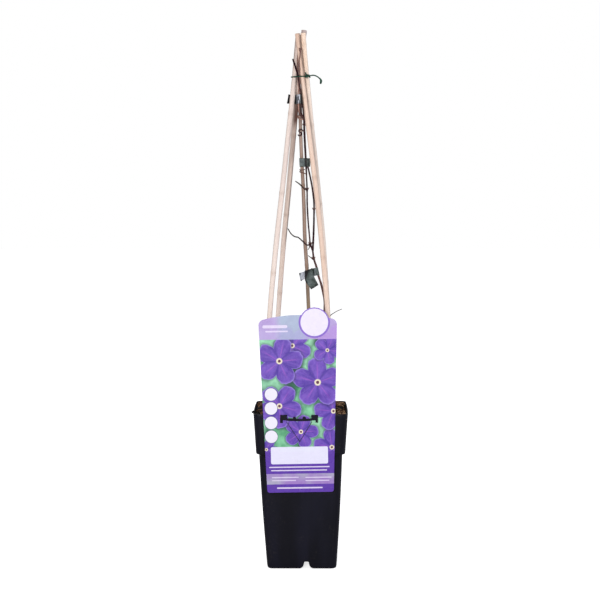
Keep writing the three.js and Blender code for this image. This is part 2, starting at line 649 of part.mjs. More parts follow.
/** A tape that binds some canes and shoots, with its flaps. */
function makeTape({ z, tall, canes, shoots, flaps }) {
  const rises = [-tall / 2, 0, tall / 2];
  const levels = rises.map((rise) => circlesAt([z + rise], canes, shoots));
  const mean = (circles, axis) => circles.reduce((sum, circle) => sum + circle[axis], 0) / circles.length;
  const slant = [0, 1].map((axis) => (mean(levels[2], axis) - mean(levels[0], axis)) / tall);
  const circles = levels.flatMap((level, i) => (
    level.map(([x, y, radius]) => [x - slant[0] * rises[i], y - slant[1] * rises[i], radius])));
  const solids = flaps.map(({ angle, root, corners, ends }) => {
    if (corners) return tapeFlap([corners[0], ...ends, corners[1]]);
    const [x, y] = bandPoint(circles, angle);
    const [upper, lower] = root.map((rise) => [x + slant[0] * rise, y + slant[1] * rise, z + rise]);
    return tapeFlap([upper, ...ends, lower]);
  });
  return fuse([tapeBand(circles, slant, z, tall), ...solids]);
}

// ---- Assembly ----------------------------------------------------------------------------------

const MATERIALS = {
  pot: { color: 0x15161b, roughness: 0.45 },
  soil: { color: 0x2c1d14, roughness: 0.95 },
  label: { color: 0x7a56b8, roughness: 0.3 },
  cane: { color: 0xe2c3a4, roughness: 0.55 },
  centreCane: { color: 0xa5836a, roughness: 0.65 },
  stem: { color: 0x3a2128, roughness: 0.7 },
  wire: { color: 0x0f4a38, roughness: 0.4 },
  tape: { color: 0x46554f, roughness: 0.5 },
};

const whole = new THREE.Group();
// The pieces are drawn round the pot's axis; the whole is centred on its own depth, hooks included.
whole.position.y = (HOOK_FRONT - RIM_HALF) / 2;

function place(name, solid, material) {
  const finish = new THREE.MeshStandardMaterial({ metalness: 0, ...MATERIALS[material] });
  const mesh = new THREE.Mesh(geometryOf(solid), finish);
  mesh.name = name;
  whole.add(mesh);
}

place('pot', makePot(), 'pot');
place('soil', makeSoil(), 'soil');
place('label', makeLabel(), 'label');
for (const name of Object.keys(CANES)) {
  place(name, caneSolid(name), name === 'cane_centre' ? 'centreCane' : 'cane');
}
place('clematis', makePlant(), 'stem');
place('wire_tie', makeWire(), 'wire');
for (const [name, tape] of Object.entries(TAPES)) {
  place(name, makeTape(tape), 'tape');
}

export default whole;
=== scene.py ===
"""Looks for a young, leafless climber, tied to bamboo canes in a tall square nursery pot.

Metres, +Z up, and the label faces -Y. New pieces are grids of points that numpy works out as whole
arrays: a profile carried round the pot, a section carried along a cane, a stem or a wire, or a
height over the potting mix. Shapes are drawn in millimetres on the pot's own axis, as in the CAD
source, and settle() carries them into the frame.
"""
import math

import bpy
import numpy as np
from mathutils import Matrix, Vector


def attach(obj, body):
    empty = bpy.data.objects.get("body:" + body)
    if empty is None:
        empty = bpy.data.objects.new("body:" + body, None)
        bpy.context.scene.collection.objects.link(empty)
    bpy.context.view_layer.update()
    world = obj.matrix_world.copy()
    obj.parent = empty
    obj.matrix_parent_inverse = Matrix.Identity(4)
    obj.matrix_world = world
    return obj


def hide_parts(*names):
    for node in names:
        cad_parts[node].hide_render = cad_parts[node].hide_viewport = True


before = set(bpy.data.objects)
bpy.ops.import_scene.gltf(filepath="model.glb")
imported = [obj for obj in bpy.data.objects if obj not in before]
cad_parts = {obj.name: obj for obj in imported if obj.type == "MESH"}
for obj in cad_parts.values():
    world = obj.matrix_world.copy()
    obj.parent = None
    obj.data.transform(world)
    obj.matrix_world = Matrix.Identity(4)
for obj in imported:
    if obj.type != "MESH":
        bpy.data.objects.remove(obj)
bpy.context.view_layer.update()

# ---- Sizes, in millimetres --------------------------------------------------------------------------

MM = 0.001
AXIS_Y = 1.45                     # the pot's axis stands this far behind the frame's origin

RIM_HALF = 65.0
RIM_BOW = 1.0                     # how far the sides at -X and +X bow out between the corners
POT_HEIGHT = 220.0
COLLAR_FOOT_HALF = 61.4
COLLAR_BOTTOM = 163.2
BODY_TOP_HALF = 57.5
BODY_BULGE = 0.8                  # how far the mix pushes the body's walls out at half their height
BASE_HALF = 48.1
BASE_SHIFT = 1.7
WALL = 1.2
CORNER = 8.0
EDGE = 1.6
HEEL = 3.0
FRONT_BOW = 0.5                   # how far the body's front and back bow out at half their height

CHANNEL_X = 8.0
CHANNEL_FOOT_ZONE = 15.0          # wall above the base that makes way for the drain channels
# Points along a side and round a corner, and rows up a rounded edge, the body, the collar and the lip.
SIDE_POINTS, CORNER_POINTS = 27, 8
EDGE_ROWS, BODY_ROWS, COLLAR_ROWS, LIP_ROWS = 5, 30, 16, 7
ROW_GAP = 1.5                     # from a rounded edge to the next row
LIP_FLATNESS = 0.6                # the rim's top is this share of a half circle's height
# The channels' half widths, and the height of their walls at each.
CHANNEL_REACH = [0, 2.6, 3.7, 3.85, 4.6, 6.2, 8.4, 8.8]
CHANNEL_RISE = [9.8, 9.8, 8.6, 5.4, 3.2, 1.4, 0.2, 0]

SOIL_INSET = 1.5
SOIL_FRONT = 213.2
SOIL_BACK = 217.0

LABEL_FRONT = 66.0
LABEL_FOOT_Z = 112.2
LABEL_LEAN = math.radians(1)
HOLDER_GAP = 0.3
HOLDER_FRONT = 67.9
HOOKS = [
    {"outer": -27.9, "inner": -18.8, "top": 219.4, "foot": 212.3, "prong": 3.2, "prong_foot": 208.6},
    {"outer": 23.7, "inner": 14.9, "top": 219.4, "foot": 212.3, "prong": -2.9, "prong_foot": 209.2},
]
BAR_THICK = 3.1
BAR_ENDS = (-19.8, 15.9, 213.4)   # the bar's left and right end, and their height
BAR_MIDDLE = 212.0                # it sags halfway down to this height
BAR_BEADS = [(-8.5, 215.2), (4.9, 215.2)]
BEAD_RADIUS = 2.2
HOOK_ROOT = 63.7                  # the hooks start inside the pot's wall
FRONT_STEP = 0.05                 # the bar's front lies this far behind the hooks', and the beads' too

CANES = ["cane_front_left", "cane_back_left", "cane_front_right", "cane_back_right", "cane_centre"]
JOINT_BULGE = 0.25                # a ring this much wider than its neighbours is a joint of the cane
# How far a cane bows to +X at some heights.
CANE_BOWS = {
    "cane_front_left": [(215, 0.2), (300, 0.5), (400, 0.9), (540, 1.0), (660, 1.25), (700, 1.0),
                        (743, 0.2)],
    "cane_back_left": [(215, 0.2), (330, 0.7), (420, 0.7), (500, 0.3), (580, 0)],
    "cane_front_right": [(215, 0.3), (340, 0.6), (440, 0.2), (520, 0)],
}
TIP_FLARE = 0.3                   # the canes' cut ends are a little thicker

# The leader's radius at some heights: slim beside the second shoot, and thicker where both have grown
# into one again.
LEADER_GIRTH = [(182, 2.0), (420, 1.6), (440, 1.35), (462, 1.05), (545, 1.05), (566, 1.5), (600, 1.6),
                (655, 1.5), (671, 1.3)]
# Each shoot: its radius at both ends, or by height for the leader, and its route from root to tip.
SHOOTS = {
    "leader": (LEADER_GIRTH, [
        (22, -7, 182), (23, -8, 214), (29, -12, 300), (33.4, -16, 370.6), (31.6, -14, 382.6),
        (28.2, -12, 396.7), (24.6, -9, 407.7), (21.8, -7, 419.8), (18, -5, 431.9), (16.6, -4, 442.2),
        (13.2, -3, 451.7), (12.1, -2, 462), (10.4, -1, 480.8), (8.8, 0, 508), (8.6, 0, 528),
        (7.9, 0, 545.7), (6.6, -1, 573.6), (5.6, -1, 592.4), (4.7, -1, 611.2), (4.5, -1.5, 624.3),
        (3.7, -2, 638.3), (0.7, -2.7, 656.8), (-1.4, -3.6, 670.5)]),
    "leader_tip": ((1.3, 1.15), [
        (-1.4, -3.6, 670.5), (-3.6, -4.4, 684.3), (-5.8, -4.6, 692.5), (-11.5, -4.4, 709.3)]),
    "bypass": ((1.35, 1.2), [
        (16.6, -4, 442.2), (17.4, -6, 457.7), (17.9, -7, 471.7), (18.3, -8, 489.9), (18.3, -8, 510.2),
        (17.3, -8, 519.6), (15.7, -7, 531.7), (13, -5, 545.7), (9, -1.6, 563)]),
    "second_tip": ((1.05, 0.85), [
        (4.6, -1.5, 625), (2.6, -3.2, 629), (1, -3.8, 634), (0.3, -3.8, 641), (-0.6, -4.2, 652),
        (-0.6, -6, 663.6), (-1.3, -7.4, 674), (-1.8, -8.8, 684.2), (-1.8, -9.8, 696.6),
        (-2.5, -10.3, 705.2), (-1.5, -11, 712.2), (-0.6, -11.8, 721)]),
    "inner_shoot": ((1.0, 0.85), [
        (4.6, -1.5, 625), (2.2, -4.4, 628), (-0.6, -4.6, 631.5), (-2.6, -3.9, 637), (-3.2, -3.2, 644),
        (-3, -3, 652), (-3, -2.8, 664), (-3.6, -2.2, 674), (-4, -2, 685), (-4.7, -2.6, 697),
        (-4.9, -3.6, 706), (-4.3, -4, 715)]),
    "side_twig_high": ((1.05, 0.8), [
        (8.6, 0, 528), (4.4, -4, 529.5), (-2, -6, 535.9), (-7.8, -8, 539.9)]),
    "side_twig_low": ((1.0, 0.75), [
        (13.2, -3, 451.7), (9, -3, 450.3), (2, -4, 456.3), (-3.7, 0, 461), (-9, 6, 462.2),
        (-14.3, 12.5, 466.3), (-18.6, 17.6, 473.2)]),
    "stub_upper": ((0.8, 0.55), [(13.2, -3, 451.7), (11.6, -2.6, 446.4), (9.6, -2, 443.4)]),
    "stub_lower": ((0.8, 0.55), [(17.6, -4.8, 430.6), (13.4, -3, 433.2), (10.2, -1.4, 435.8)]),
    "leaf_stalk": ((0.8, 0.45), [
        (30.8, -13.6, 330), (35, -6, 343), (41.5, 1, 350.7), (49.5, 2, 356.2), (58.2, 2, 360.2)]),
}
WOODY = ["leader", "leader_tip", "bypass", "second_tip", "inner_shoot"]
# How reddish and pale the bark is at some heights, as young bark is; low on the leader and on the
# inner shoot the pale bark is partly painted highlight.
YOUTH_AND_HIGHLIGHT = {
    "leader": [(182, 0.3), (420, 0.16), (450, 0.0)],
    "second_tip": [(622, 0.0), (672, 0.15), (690, 0.4)],
    "inner_shoot": [(622, 0.0), (633, 0.15), (641, 1.0), (664, 0.9), (690, 0.45)],
}
# Curled leaf stalks: height, turns round the centre cane, climb, radius, and how reddish and pale the
# bark is, which on the upper one is partly painted highlight.
TENDRILS = [(553, 1.3, 4.4, 0.66, 0.3), (628, 1.6, 4.5, 0.7, 0.8)]
# The radius and the route of a curl that has come loose from the cane again.
LOOSE_CURL = (0.92, [
    (4.6, -1.9, 608.6), (2.6, -2.4, 610.2), (0.8, -2.4, 612), (-1.5, -2.2, 611.8), (-3, -1.2, 610),
    (-1.9, -1.9, 608.2), (0.5, -2.4, 607.4), (1.4, -2.1, 605.6), (-0.6, -2.3, 603.8),
    (-2.8, -1.5, 603.2), (-3.9, 0, 604.6)])
TENDRIL_GAP = 0.9                 # from the centre cane's skin to a tendril's axis
TENDRIL_TILT = 1.3                # how far each turn rises and falls again
# Swollen joints of the stems: place, radius, and the length of the pair of buds.
STEM_JOINTS = [
    ((8.6, 0, 528), 1.7, 2.6), ((13.2, -3, 451.7), 1.8, 2.6), ((17.8, -4.9, 431.2), 1.6, 2.6),
    ((-0.7, -11.9, 721.4), 2.3, 0.6), ((30.8, -13.6, 330), 2.0, 2.6), ((4.7, -1.2, 617), 1.5, 2.6),
    ((18.3, -8, 500), 1.4, 2.6)]

WIRE_RADIUS = 0.88
WIRE_COLUMNS = 10
WIRE_Z = 685.0
WIRED_TIPS = ["leader_tip", "second_tip", "inner_shoot"]
WIRE_MARGIN = 0.9                 # from what the wire holds to its own axis
WIRE_KNOT = (7.6, -7.8, 685.4)
WIRE_LONG_TAIL = [(11.3, -9.2, 686.4), (17.8, -9.8, 686.2), (23.3, -9.8, 684), (27.8, -9.6, 679.4),
                  (27.3, -9.6, 674.3)]
WIRE_SHORT_TAIL = [(10.2, -8.8, 684.4), (12.8, -8.6, 683)]
# A bend of the twist that stands up.
WIRE_STUB = [(7.8, -9.0, 684.6), (7.2, -9.4, 687.4), (6.1, -9.2, 690.2)]
# The lump at the knot: turns, radii in X and Y, how far forward it lies, and its ends in Z.
LUMP_TURNS, LUMP_X, LUMP_Y, LUMP_FORWARD, LUMP_ENDS = 2.4, 1.15, 0.9, -0.3, (-2.0, 2.3)
TWIST_TURNS = 1.4
# The coat that has slid out over the long end: place from the end, half width, and added thickness.
SLEEVE = (3.6, 3.4, 0.8)
LOOP_POINTS = 120

LEVEL = (0.0, 0.0)                # a tape's tilt: how steeply it rises with X, and where it lies level
TAPE_THICK = 0.6
BAND_ROWS, BAND_POINTS = 15, 96   # up a tape's band, and round it
BAND_SOFT, FLAP_SOFT = 0.6, 0.16  # how softly a mark ends on a band, and on a flap in its shares
TAPE_ROOM = 0.15                  # between a rod's skin and the tape
TIED_SHOOT = 1.2                  # a tape closes round its shoots as round rods of this radius
# A tape's marks say where its film is painted black as shade (-1) or silver as highlight (1): lowest
# and highest X, lowest and highest Z, and the shade. On a flap they are shares of its length, and of
# its width from the lower edge (-1) to the upper one (1).
TAPES = {
    "tape_top": {
        "z": 654, "tall": 12.6, "canes": ["cane_back_left", "cane_centre"],
        "shoots": ["leader", "second_tip", "inner_shoot"], "crease": 0.42,
        "marks": [(-99, -6.4, 0, 999, -1.0), (-6.4, -1.0, 0, 999, 0.96), (-1.0, 9, 0, 999, -0.9)],
        "flaps": [{
            "angle": 150, "root": (5.5, -5.5),
            "sections": [[(-16.2, 6.4, 661), (-18.4, 6.2, 648.2)],
                         [(-17.3, 5.2, 661.2), (-19.5, 5, 648.4)]],
            "marks": [(-1, 2, -2, 2, -1.0)]}]},
    "tape_middle": {
        "z": 566, "tall": 12, "canes": ["cane_centre"], "shoots": ["leader", "bypass"], "crease": 0.22,
        "marks": [(-99, 5.2, 0, 999, 0.12), (7.9, 99, 0, 999, -0.5), (-99, 99, 571.2, 999, -0.6),
                  (-99, 99, 0, 560.8, -0.4), (5.2, 8, 0, 999, -1.0)],
        "flaps": [{
            "angle": -35, "root": (5.8, -5.8), "sections": [[(12.6, -4.4, 571.8), (12.8, -4.6, 559.8)]],
            "marks": [(-1, 2, -2, 2, -0.55)]}]},
    "tape_low": {
        "z": 409, "tall": 11, "canes": ["cane_centre"], "shoots": ["leader"], "crease": 0.22,
        "tilt": (0.3, 7.0),
        "marks": [(-99, 16, 0, 999, -1.0), (16, 18.6, 0, 999, -0.6), (18.6, 22, 0, 999, 0.16),
                  (22, 99, 0, 999, -0.2)],
        "flaps": [
            {"angle": 120, "root": (4.6, -5.2),
             "sections": [[(-2.8, 11.6, 410.2), (-0.2, 11.2, 398.6)]],
             "marks": [(-1, 2, -2, 2, 0.78), (0.86, 2, 0.55, 2, -0.9), (0.86, 2, -2, -0.65, -0.9)]},
            {"sections": [[(16.0, -6.2, 418.6), (10.6, -3.0, 414.6)],
                          [(17.4, -8.2, 410), (5.6, -3.6, 402.6)],
                          [(24.8, -12.6, 395), (14.4, -9.6, 388.4)]],
             "marks": [(-1, 2, -2, 2, 0.06), (0.62, 2, 0.2, 2, -0.5), (-1, 0.45, -2, -0.45, -1.0),
                       (-1, 0.7, -2, -0.75, -1.0), (-1, 0.12, -2, 2, -0.8), (0.93, 2, -2, 2, -1.0)]}]},
}

# ---- Meshes -----------------------------------------------------------------------------------------


def settle(points):
    """Points drawn in millimetres on the pot's axis, as places in the frame."""
    return (np.asarray(points, float) + (0.0, AXIS_Y, 0.0)) * MM


def make_piece(name, parts, material, smooth=True):
    """One mesh object of several parts. A part is (points, list of face arrays, point values), and a
    face array holds one face a row; the values become attributes that the materials read."""
    starts = np.cumsum([0] + [len(part[0]) for part in parts])
    points = settle(np.concatenate([part[0] for part in parts]))
    faces = []
    for start, part in zip(starts, parts):
        for array in part[1]:
            faces.extend((array + start).tolist())
    mesh = bpy.data.meshes.new(name)
    mesh.from_pydata(points.tolist(), [], faces)
    for key in parts[0][2]:
        values = np.concatenate([np.asarray(part[2][key], np.float32) for part in parts])
        kind, field = ("FLOAT_VECTOR", "vector") if values.ndim == 2 else ("FLOAT", "value")
        mesh.attributes.new(key, kind, "POINT").data.foreach_set(field, values.ravel())
    mesh.polygons.foreach_set("use_smooth", np.full(len(mesh.polygons), smooth))
    mesh.materials.append(material)
    mesh.validate()
    piece = bpy.data.objects.new(name, mesh)
    bpy.context.scene.collection.objects.link(piece)
    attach(piece, "root")
    return piece


def quads_round(rows, columns, close_rows=False):
    """Quads between neighbouring points of a grid whose columns, and perhaps rows, join up again."""
    last = rows if close_rows else rows - 1
    i, j = np.meshgrid(np.arange(last), np.arange(columns), indexing="ij")
    below, above = i * columns, (i + 1) % rows * columns
    beside = (j + 1) % columns
    return np.stack([below + j, below + beside, above + beside, above + j], -1).reshape(-1, 4)


def capped(grid, values=None):
    """A part from rows of points round an axis, closed by a fan to the middle of each end row."""
    rows, columns = grid.shape[:2]
    points = np.concatenate([grid.reshape(-1, 3), grid[:1].mean(1), grid[-1:].mean(1)])
    first, last = rows * columns, rows * columns + 1
    j = np.arange(columns)
    beside = (j + 1) % columns
    low = np.stack([beside, j, np.full(columns, first)], -1)
    high = np.stack([j, beside, np.full(columns, 0)], -1) + (rows - 1) * columns
    high[:, 2] = last
    kept = {}
    for key, value in (values or {}).items():
        flat = value.reshape((rows * columns,) + value.shape[2:])
        kept[key] = np.concatenate([flat, value[:1].mean(1), value[-1:].mean(1)])
    return points, [quads_round(rows, columns), low, high], kept


def looped(grid, values):
    """A part from a grid that closes both ways, like a ring."""
    rows, columns = grid.shape[:2]
    flat = {key: value.reshape((rows * columns,) + value.shape[2:]) for key, value in values.items()}
    return grid.reshape(-1, 3), [quads_round(rows, columns, close_rows=True)], flat


def unit(vectors):
    return vectors / np.linalg.norm(vectors, axis=-1, keepdims=True)


SPAN_STEPS = 24                   # of a smooth path between two of its points


def smooth_path(points, spacing):
    """A centripetal Catmull-Rom curve through the points, as places about one spacing apart."""
    p = np.asarray(points, float)
    p = np.vstack([2 * p[0] - p[1], p, 2 * p[-1] - p[-2]])
    knot = np.sqrt(np.linalg.norm(np.diff(p, axis=0), axis=1))[:, None]
    p0, p1, p2, p3 = p[:-3], p[1:-2], p[2:-1], p[3:]
    k0, k1, k2 = knot[:-2], knot[1:-1], knot[2:]
    leave = k1 * ((p1 - p0) / k0 - (p2 - p0) / (k0 + k1) + (p2 - p1) / k1)
    arrive = k1 * ((p2 - p1) / k1 - (p3 - p1) / (k1 + k2) + (p3 - p2) / k2)
    u = np.linspace(0, 1, SPAN_STEPS, endpoint=False)[None, :, None]
    p1, p2, leave, arrive = p1[:, None], p2[:, None], leave[:, None], arrive[:, None]
    curve = (p1 + leave * u + (3 * (p2 - p1) - 2 * leave - arrive) * u**2
             + (2 * (p1 - p2) + leave + arrive) * u**3)
    curve = np.vstack([curve.reshape(-1, 3), p[-2]])
    return resample(curve, spacing)


def full_turn(count):
    """Evenly spaced angles, all the way round."""
    return np.linspace(0, 2 * np.pi, count, endpoint=False)


def lengths_along(path):
    """The distance from a path's start to each of its places."""
    return np.concatenate([[0], np.cumsum(np.linalg.norm(np.diff(path, axis=0), axis=1))])


def resample(path, spacing=None, at=None):
    """Places along a path, evenly spaced or at the given distances."""
    distance = lengths_along(path)
    if at is None:
        at = np.linspace(0, distance[-1], max(3, round(distance[-1] / spacing) + 1))
    return np.stack([np.interp(at, distance, path[:, axis]) for axis in range(3)], -1)


def row_values(values, shape):
    """Values of a grid's points, given for each point or for each row."""
    values = np.asarray(values, float)
    return np.broadcast_to(values[:, None] if values.ndim == 1 else values, shape)


def tube(path, radius, columns, across=(0, 1, 0), extra=None, tangent=None, distance=None):
    """A section carried along a path and closed at both ends: the point at distance s and angle a is
    path(s) + radius(s, a) * (cos a * side + sin a * up), where side and up lie across the path. Its
    attribute straight holds the same point with the path straightened out, in metres. The rows'
    tangents and distances follow from the path, or are given where it turns back on itself."""
    tangent = unit(np.gradient(path, axis=0)) if tangent is None else tangent
    distance = lengths_along(path) if distance is None else distance
    side = unit(np.cross(np.broadcast_to(across, tangent.shape), tangent))
    up = np.cross(tangent, side)
    angle = full_turn(columns)
    radius = row_values(radius, (len(path), columns))
    c, s = radius * np.cos(angle), radius * np.sin(angle)
    grid = path[:, None] + c[..., None] * side[:, None] + s[..., None] * up[:, None]
    values = {"straight": np.stack([c, s, row_values(distance, c.shape)], -1) * MM}
    values.update({key: row_values(value, c.shape) for key, value in (extra or {}).items()})
    return capped(grid, values)


def bump(distance, centre, width, height):
    """A rounded rise of a given height and half width about a centre."""
    return height * np.exp(-(((distance - centre) / width) ** 2))


LATTICE = 97                      # cells along each side of the noise's table, before it repeats


def lattice_noise(x, y, cell, seed):
    """Smooth random heights from -1 to 1: random numbers on a lattice of cells, blended between."""
    table = np.random.default_rng(seed).uniform(-1, 1, (LATTICE, LATTICE))
    u, v = np.asarray(x, float) / cell, np.asarray(y, float) / cell
    i, j = np.floor(u).astype(int), np.floor(v).astype(int)
    fu, fv = u - i, v - j
    fu, fv = fu * fu * (3 - 2 * fu), fv * fv * (3 - 2 * fv)
    i0, i1, j0, j1 = i % LATTICE, (i + 1) % LATTICE, j % LATTICE, (j + 1) % LATTICE
    low = table[i0, j0] * (1 - fu) + table[i1, j0] * fu
    high = table[i0, j1] * (1 - fu) + table[i1, j1] * fu
    return low * (1 - fv) + high * fv


# ---- Shader nodes -----------------------------------------------------------------------------------


def paint(code):
    """A display colour such as "8a6b50" as linear red, green, blue and alpha."""
    share = [int(code[i:i + 2], 16) / 255 for i in (0, 2, 4)]
    return [v / 12.92 if v <= 0.04045 else ((v + 0.055) / 1.055) ** 2.4 for v in share] + [1.0]


class Nodes:
    """Short calls that add linked nodes to a tree. An input is a value, a display colour's code, or
    another node's socket."""

    def __init__(self, tree):
        self.tree = tree

    def add(self, kind, inputs=None, **settings):
        node = self.tree.nodes.new("ShaderNode" + kind)
        for name, value in settings.items():
            setattr(node, name, value)
        for key, value in (inputs or {}).items():
            self.feed(node.inputs[key], value)
        return node

    def feed(self, socket, value):
        if isinstance(value, bpy.types.NodeSocket):
            self.tree.links.new(value, socket)
        else:
            socket.default_value = paint(value) if isinstance(value, str) else value

    def math(self, operation, *values):
        return self.add("Math", dict(enumerate(values)), operation=operation).outputs[0]

    def times(self, first, second):
        return self.math("MULTIPLY", first, second)

    def linear(self, value, factor, start):
        """The start and, on top of it, the factor times the value."""
        return self.math("MULTIPLY_ADD", value, factor, start)

    def rise(self, value, low, high):
        """0 below low, 1 above high, and smooth between."""
        inputs = {"Value": value, "From Min": low, "From Max": high}
        return self.add("MapRange", inputs, interpolation_type="SMOOTHSTEP").outputs[0]

    def blend(self, share, first, second):
        inputs = {0: share, 6: first, 7: second}
        return self.add("Mix", inputs, data_type="RGBA", clamp_factor=True).outputs[2]

    def coat(self, under, mask, share, colour):
        """A colour laid over another one by a mask, of which it takes only a share."""
        return self.blend(self.times(mask, share), under, colour)

    def noise(self, vector, scale, detail=3.0, roughness=0.5):
        inputs = {"Vector": vector, "Scale": scale, "Detail": detail, "Roughness": roughness}
        return self.add("TexNoise", inputs).outputs[0]

    def scaled(self, vector, scale):
        return self.add("Mapping", {"Vector": vector, "Scale": scale}).outputs[0]

    def place(self):
        return self.add("TexCoord").outputs["Object"]

    def attribute(self, name, output="Fac"):
        return self.add("Attribute", attribute_name=name).outputs[output]

    def group(self, group, inputs):
        return self.add("Group", inputs, node_tree=group).outputs

    def dust(self, vector, scale, amount):
        return self.group(DUST, {"Vector": vector, "Scale": scale, "Amount": amount})["Mask"]

    def grain(self, vector, across, along):
        return self.group(GRAIN, {"Vector": vector, "Across": across, "Along": along})


def shader_group(name, inputs, outputs, build):
    """A node group. Inputs and outputs are {name: kind of socket}; build gets the nodes and the
    inputs by name, and returns the sockets to put out by name."""
    tree = bpy.data.node_groups.new(name, "ShaderNodeTree")
    for title, kind in inputs.items():
        tree.interface.new_socket(title, in_out="INPUT", socket_type="NodeSocket" + kind)
    for title, kind in outputs.items():
        tree.interface.new_socket(title, in_out="OUTPUT", socket_type="NodeSocket" + kind)
    nodes = Nodes(tree)
    entry, leave = tree.nodes.new("NodeGroupInput"), tree.nodes.new("NodeGroupOutput")
    for title, socket in build(nodes, entry.outputs).items():
        tree.links.new(socket, leave.inputs[title])
    return tree


def new_material(name, **uniform):
    """A material with one Principled BSDF, whose uniform values are set on its own sockets."""
    material = bpy.data.materials.new(name)
    material.use_nodes = True
    tree = material.node_tree
    shader = next(node for node in tree.nodes if node.type == "BSDF_PRINCIPLED")
    for title, value in uniform.items():
        shader.inputs[title.replace("_", " ")].default_value = value
    return material, Nodes(tree), shader.inputs


def dress(nodes, shader, colour, roughness, height, strength, depth):
    """Feeds a shader's colour and roughness, and raises its surface by a height of some depth."""
    nodes.feed(shader["Base Color"], colour)
    nodes.feed(shader["Roughness"], roughness)
    inputs = {"Strength": strength, "Distance": depth, "Height": height}
    nodes.feed(shader["Normal"], nodes.add("Bump", inputs).outputs[0])


def build_grain(nodes, given):
    """Long thin streaks: noise on coordinates that are squeezed across the grain."""
    across, along = given["Across"], given["Along"]
    scale = nodes.add("CombineXYZ", {0: across, 1: across, 2: along}).outputs[0]
    squeezed = nodes.add("VectorMath", {0: given["Vector"], 1: scale}, operation="MULTIPLY").outputs[0]
    fine = nodes.noise(squeezed, 1.0, 4.0, 0.6)
    broad = nodes.noise(squeezed, 0.23, 2.0)
    return {"Fine": nodes.rise(fine, 0.3, 0.7), "Broad": nodes.rise(broad, 0.35, 0.65)}


def build_dust(nodes, given):
    """Patches and specks of dry soil, where two noises both run high."""
    patch = nodes.rise(nodes.noise(given["Vector"], given["Scale"], 3.0, 0.6), 0.48, 0.72)
    coarse = nodes.times(given["Scale"], 9.0)
    speck = nodes.rise(nodes.noise(given["Vector"], coarse, 2.0, 0.7), 0.5, 0.66)
    both = nodes.times(patch, speck)
    return {"Mask": nodes.times(both, given["Amount"])}


GRAIN = shader_group("grain", {"Vector": "Vector", "Across": "Float", "Along": "Float"},
                     {"Fine": "Float", "Broad": "Float"}, build_grain)
DUST = shader_group("dust", {"Vector": "Vector", "Scale": "Float", "Amount": "Float"},
                    {"Mask": "Float"}, build_dust)

# ---- Pot --------------------------------------------------------------------------------------------


def rim_outline():
    """Places and outward directions round a rounded square, counterclockwise. The points crowd where
    the drain channels will pass under the walls."""
    reach = RIM_HALF - CORNER
    crowd = np.array(CHANNEL_REACH[1:]) / BASE_HALF * RIM_HALF
    even = np.linspace(-reach, reach, SIDE_POINTS)[1:-1]
    channel = (CHANNEL_X - BASE_SHIFT) / BASE_HALF * RIM_HALF
    centres = [channel, 0.0, channel, 0.0]
    corner_turn = np.linspace(0, np.pi / 2, CORNER_POINTS)
    places, outward = [], []
    for side, centre in enumerate(centres):
        turn = side * np.pi / 2
        near = np.concatenate([centre - crowd, [centre], centre + crowd])
        kept = even[np.abs(even - centre) > crowd[-1] + 1]
        along = np.sort(np.concatenate([kept, near]))
        along = along if side < 2 else -along[::-1]
        rotate = np.array([[math.cos(turn), math.sin(turn)], [-math.sin(turn), math.cos(turn)]])
        places.append(np.stack([along, np.full(len(along), -reach)], -1) @ rotate)
        outward.append(np.tile([0.0, -1.0], (len(along), 1)) @ rotate)
        places.append(np.tile([reach, -reach], (len(corner_turn), 1)) @ rotate)
        outward.append(np.stack([np.sin(corner_turn), -np.cos(corner_turn)], -1) @ rotate)
    return np.concatenate(places), np.concatenate(outward)


RIM_PLACES, RIM_OUTWARD = rim_outline()


def channel_rise(x, y, grow):
    """Height of the drain channels over a place: that of the deeper of the two that cross."""
    return np.maximum(*(np.interp(np.maximum(np.abs(off) - grow, 0), CHANNEL_REACH, CHANNEL_RISE)
                        for off in (x - CHANNEL_X, y)))


def pot_profile(inset):
    """Heights and half widths of the pot's outside from the base's edge to the rim, drawn in by an
    inset: a rounded heel, the tapering body, the step under the collar and the collar."""
    body_slope = (BODY_TOP_HALF - BASE_HALF) / COLLAR_BOTTOM
    collar_slope = (RIM_HALF - COLLAR_FOOT_HALF) / (POT_HEIGHT - COLLAR_BOTTOM)
    turn = np.linspace(0, np.pi / 2, EDGE_ROWS)
    heel_z = HEEL - (HEEL - inset) * np.cos(turn)
    heel_half = BASE_HALF - HEEL + (HEEL - inset) * np.sin(turn)
    body_z = np.linspace(HEEL + ROW_GAP, COLLAR_BOTTOM + inset, BODY_ROWS)
    edge = max(EDGE - inset, 0.1)
    edge_z = COLLAR_BOTTOM + EDGE - edge * np.cos(turn)
    edge_half = COLLAR_FOOT_HALF - EDGE + edge * np.sin(turn)
    collar_z = np.linspace(COLLAR_BOTTOM + EDGE + ROW_GAP, POT_HEIGHT, COLLAR_ROWS)
    heights = np.concatenate([heel_z, body_z, edge_z, collar_z])
    bulge = BODY_BULGE * np.sin(np.pi * body_z / COLLAR_BOTTOM)
    halves = np.concatenate([
        heel_half, BASE_HALF + body_slope * body_z + bulge - inset, edge_half,
        COLLAR_FOOT_HALF + collar_slope * (collar_z - COLLAR_BOTTOM) - inset])
    return heights, halves


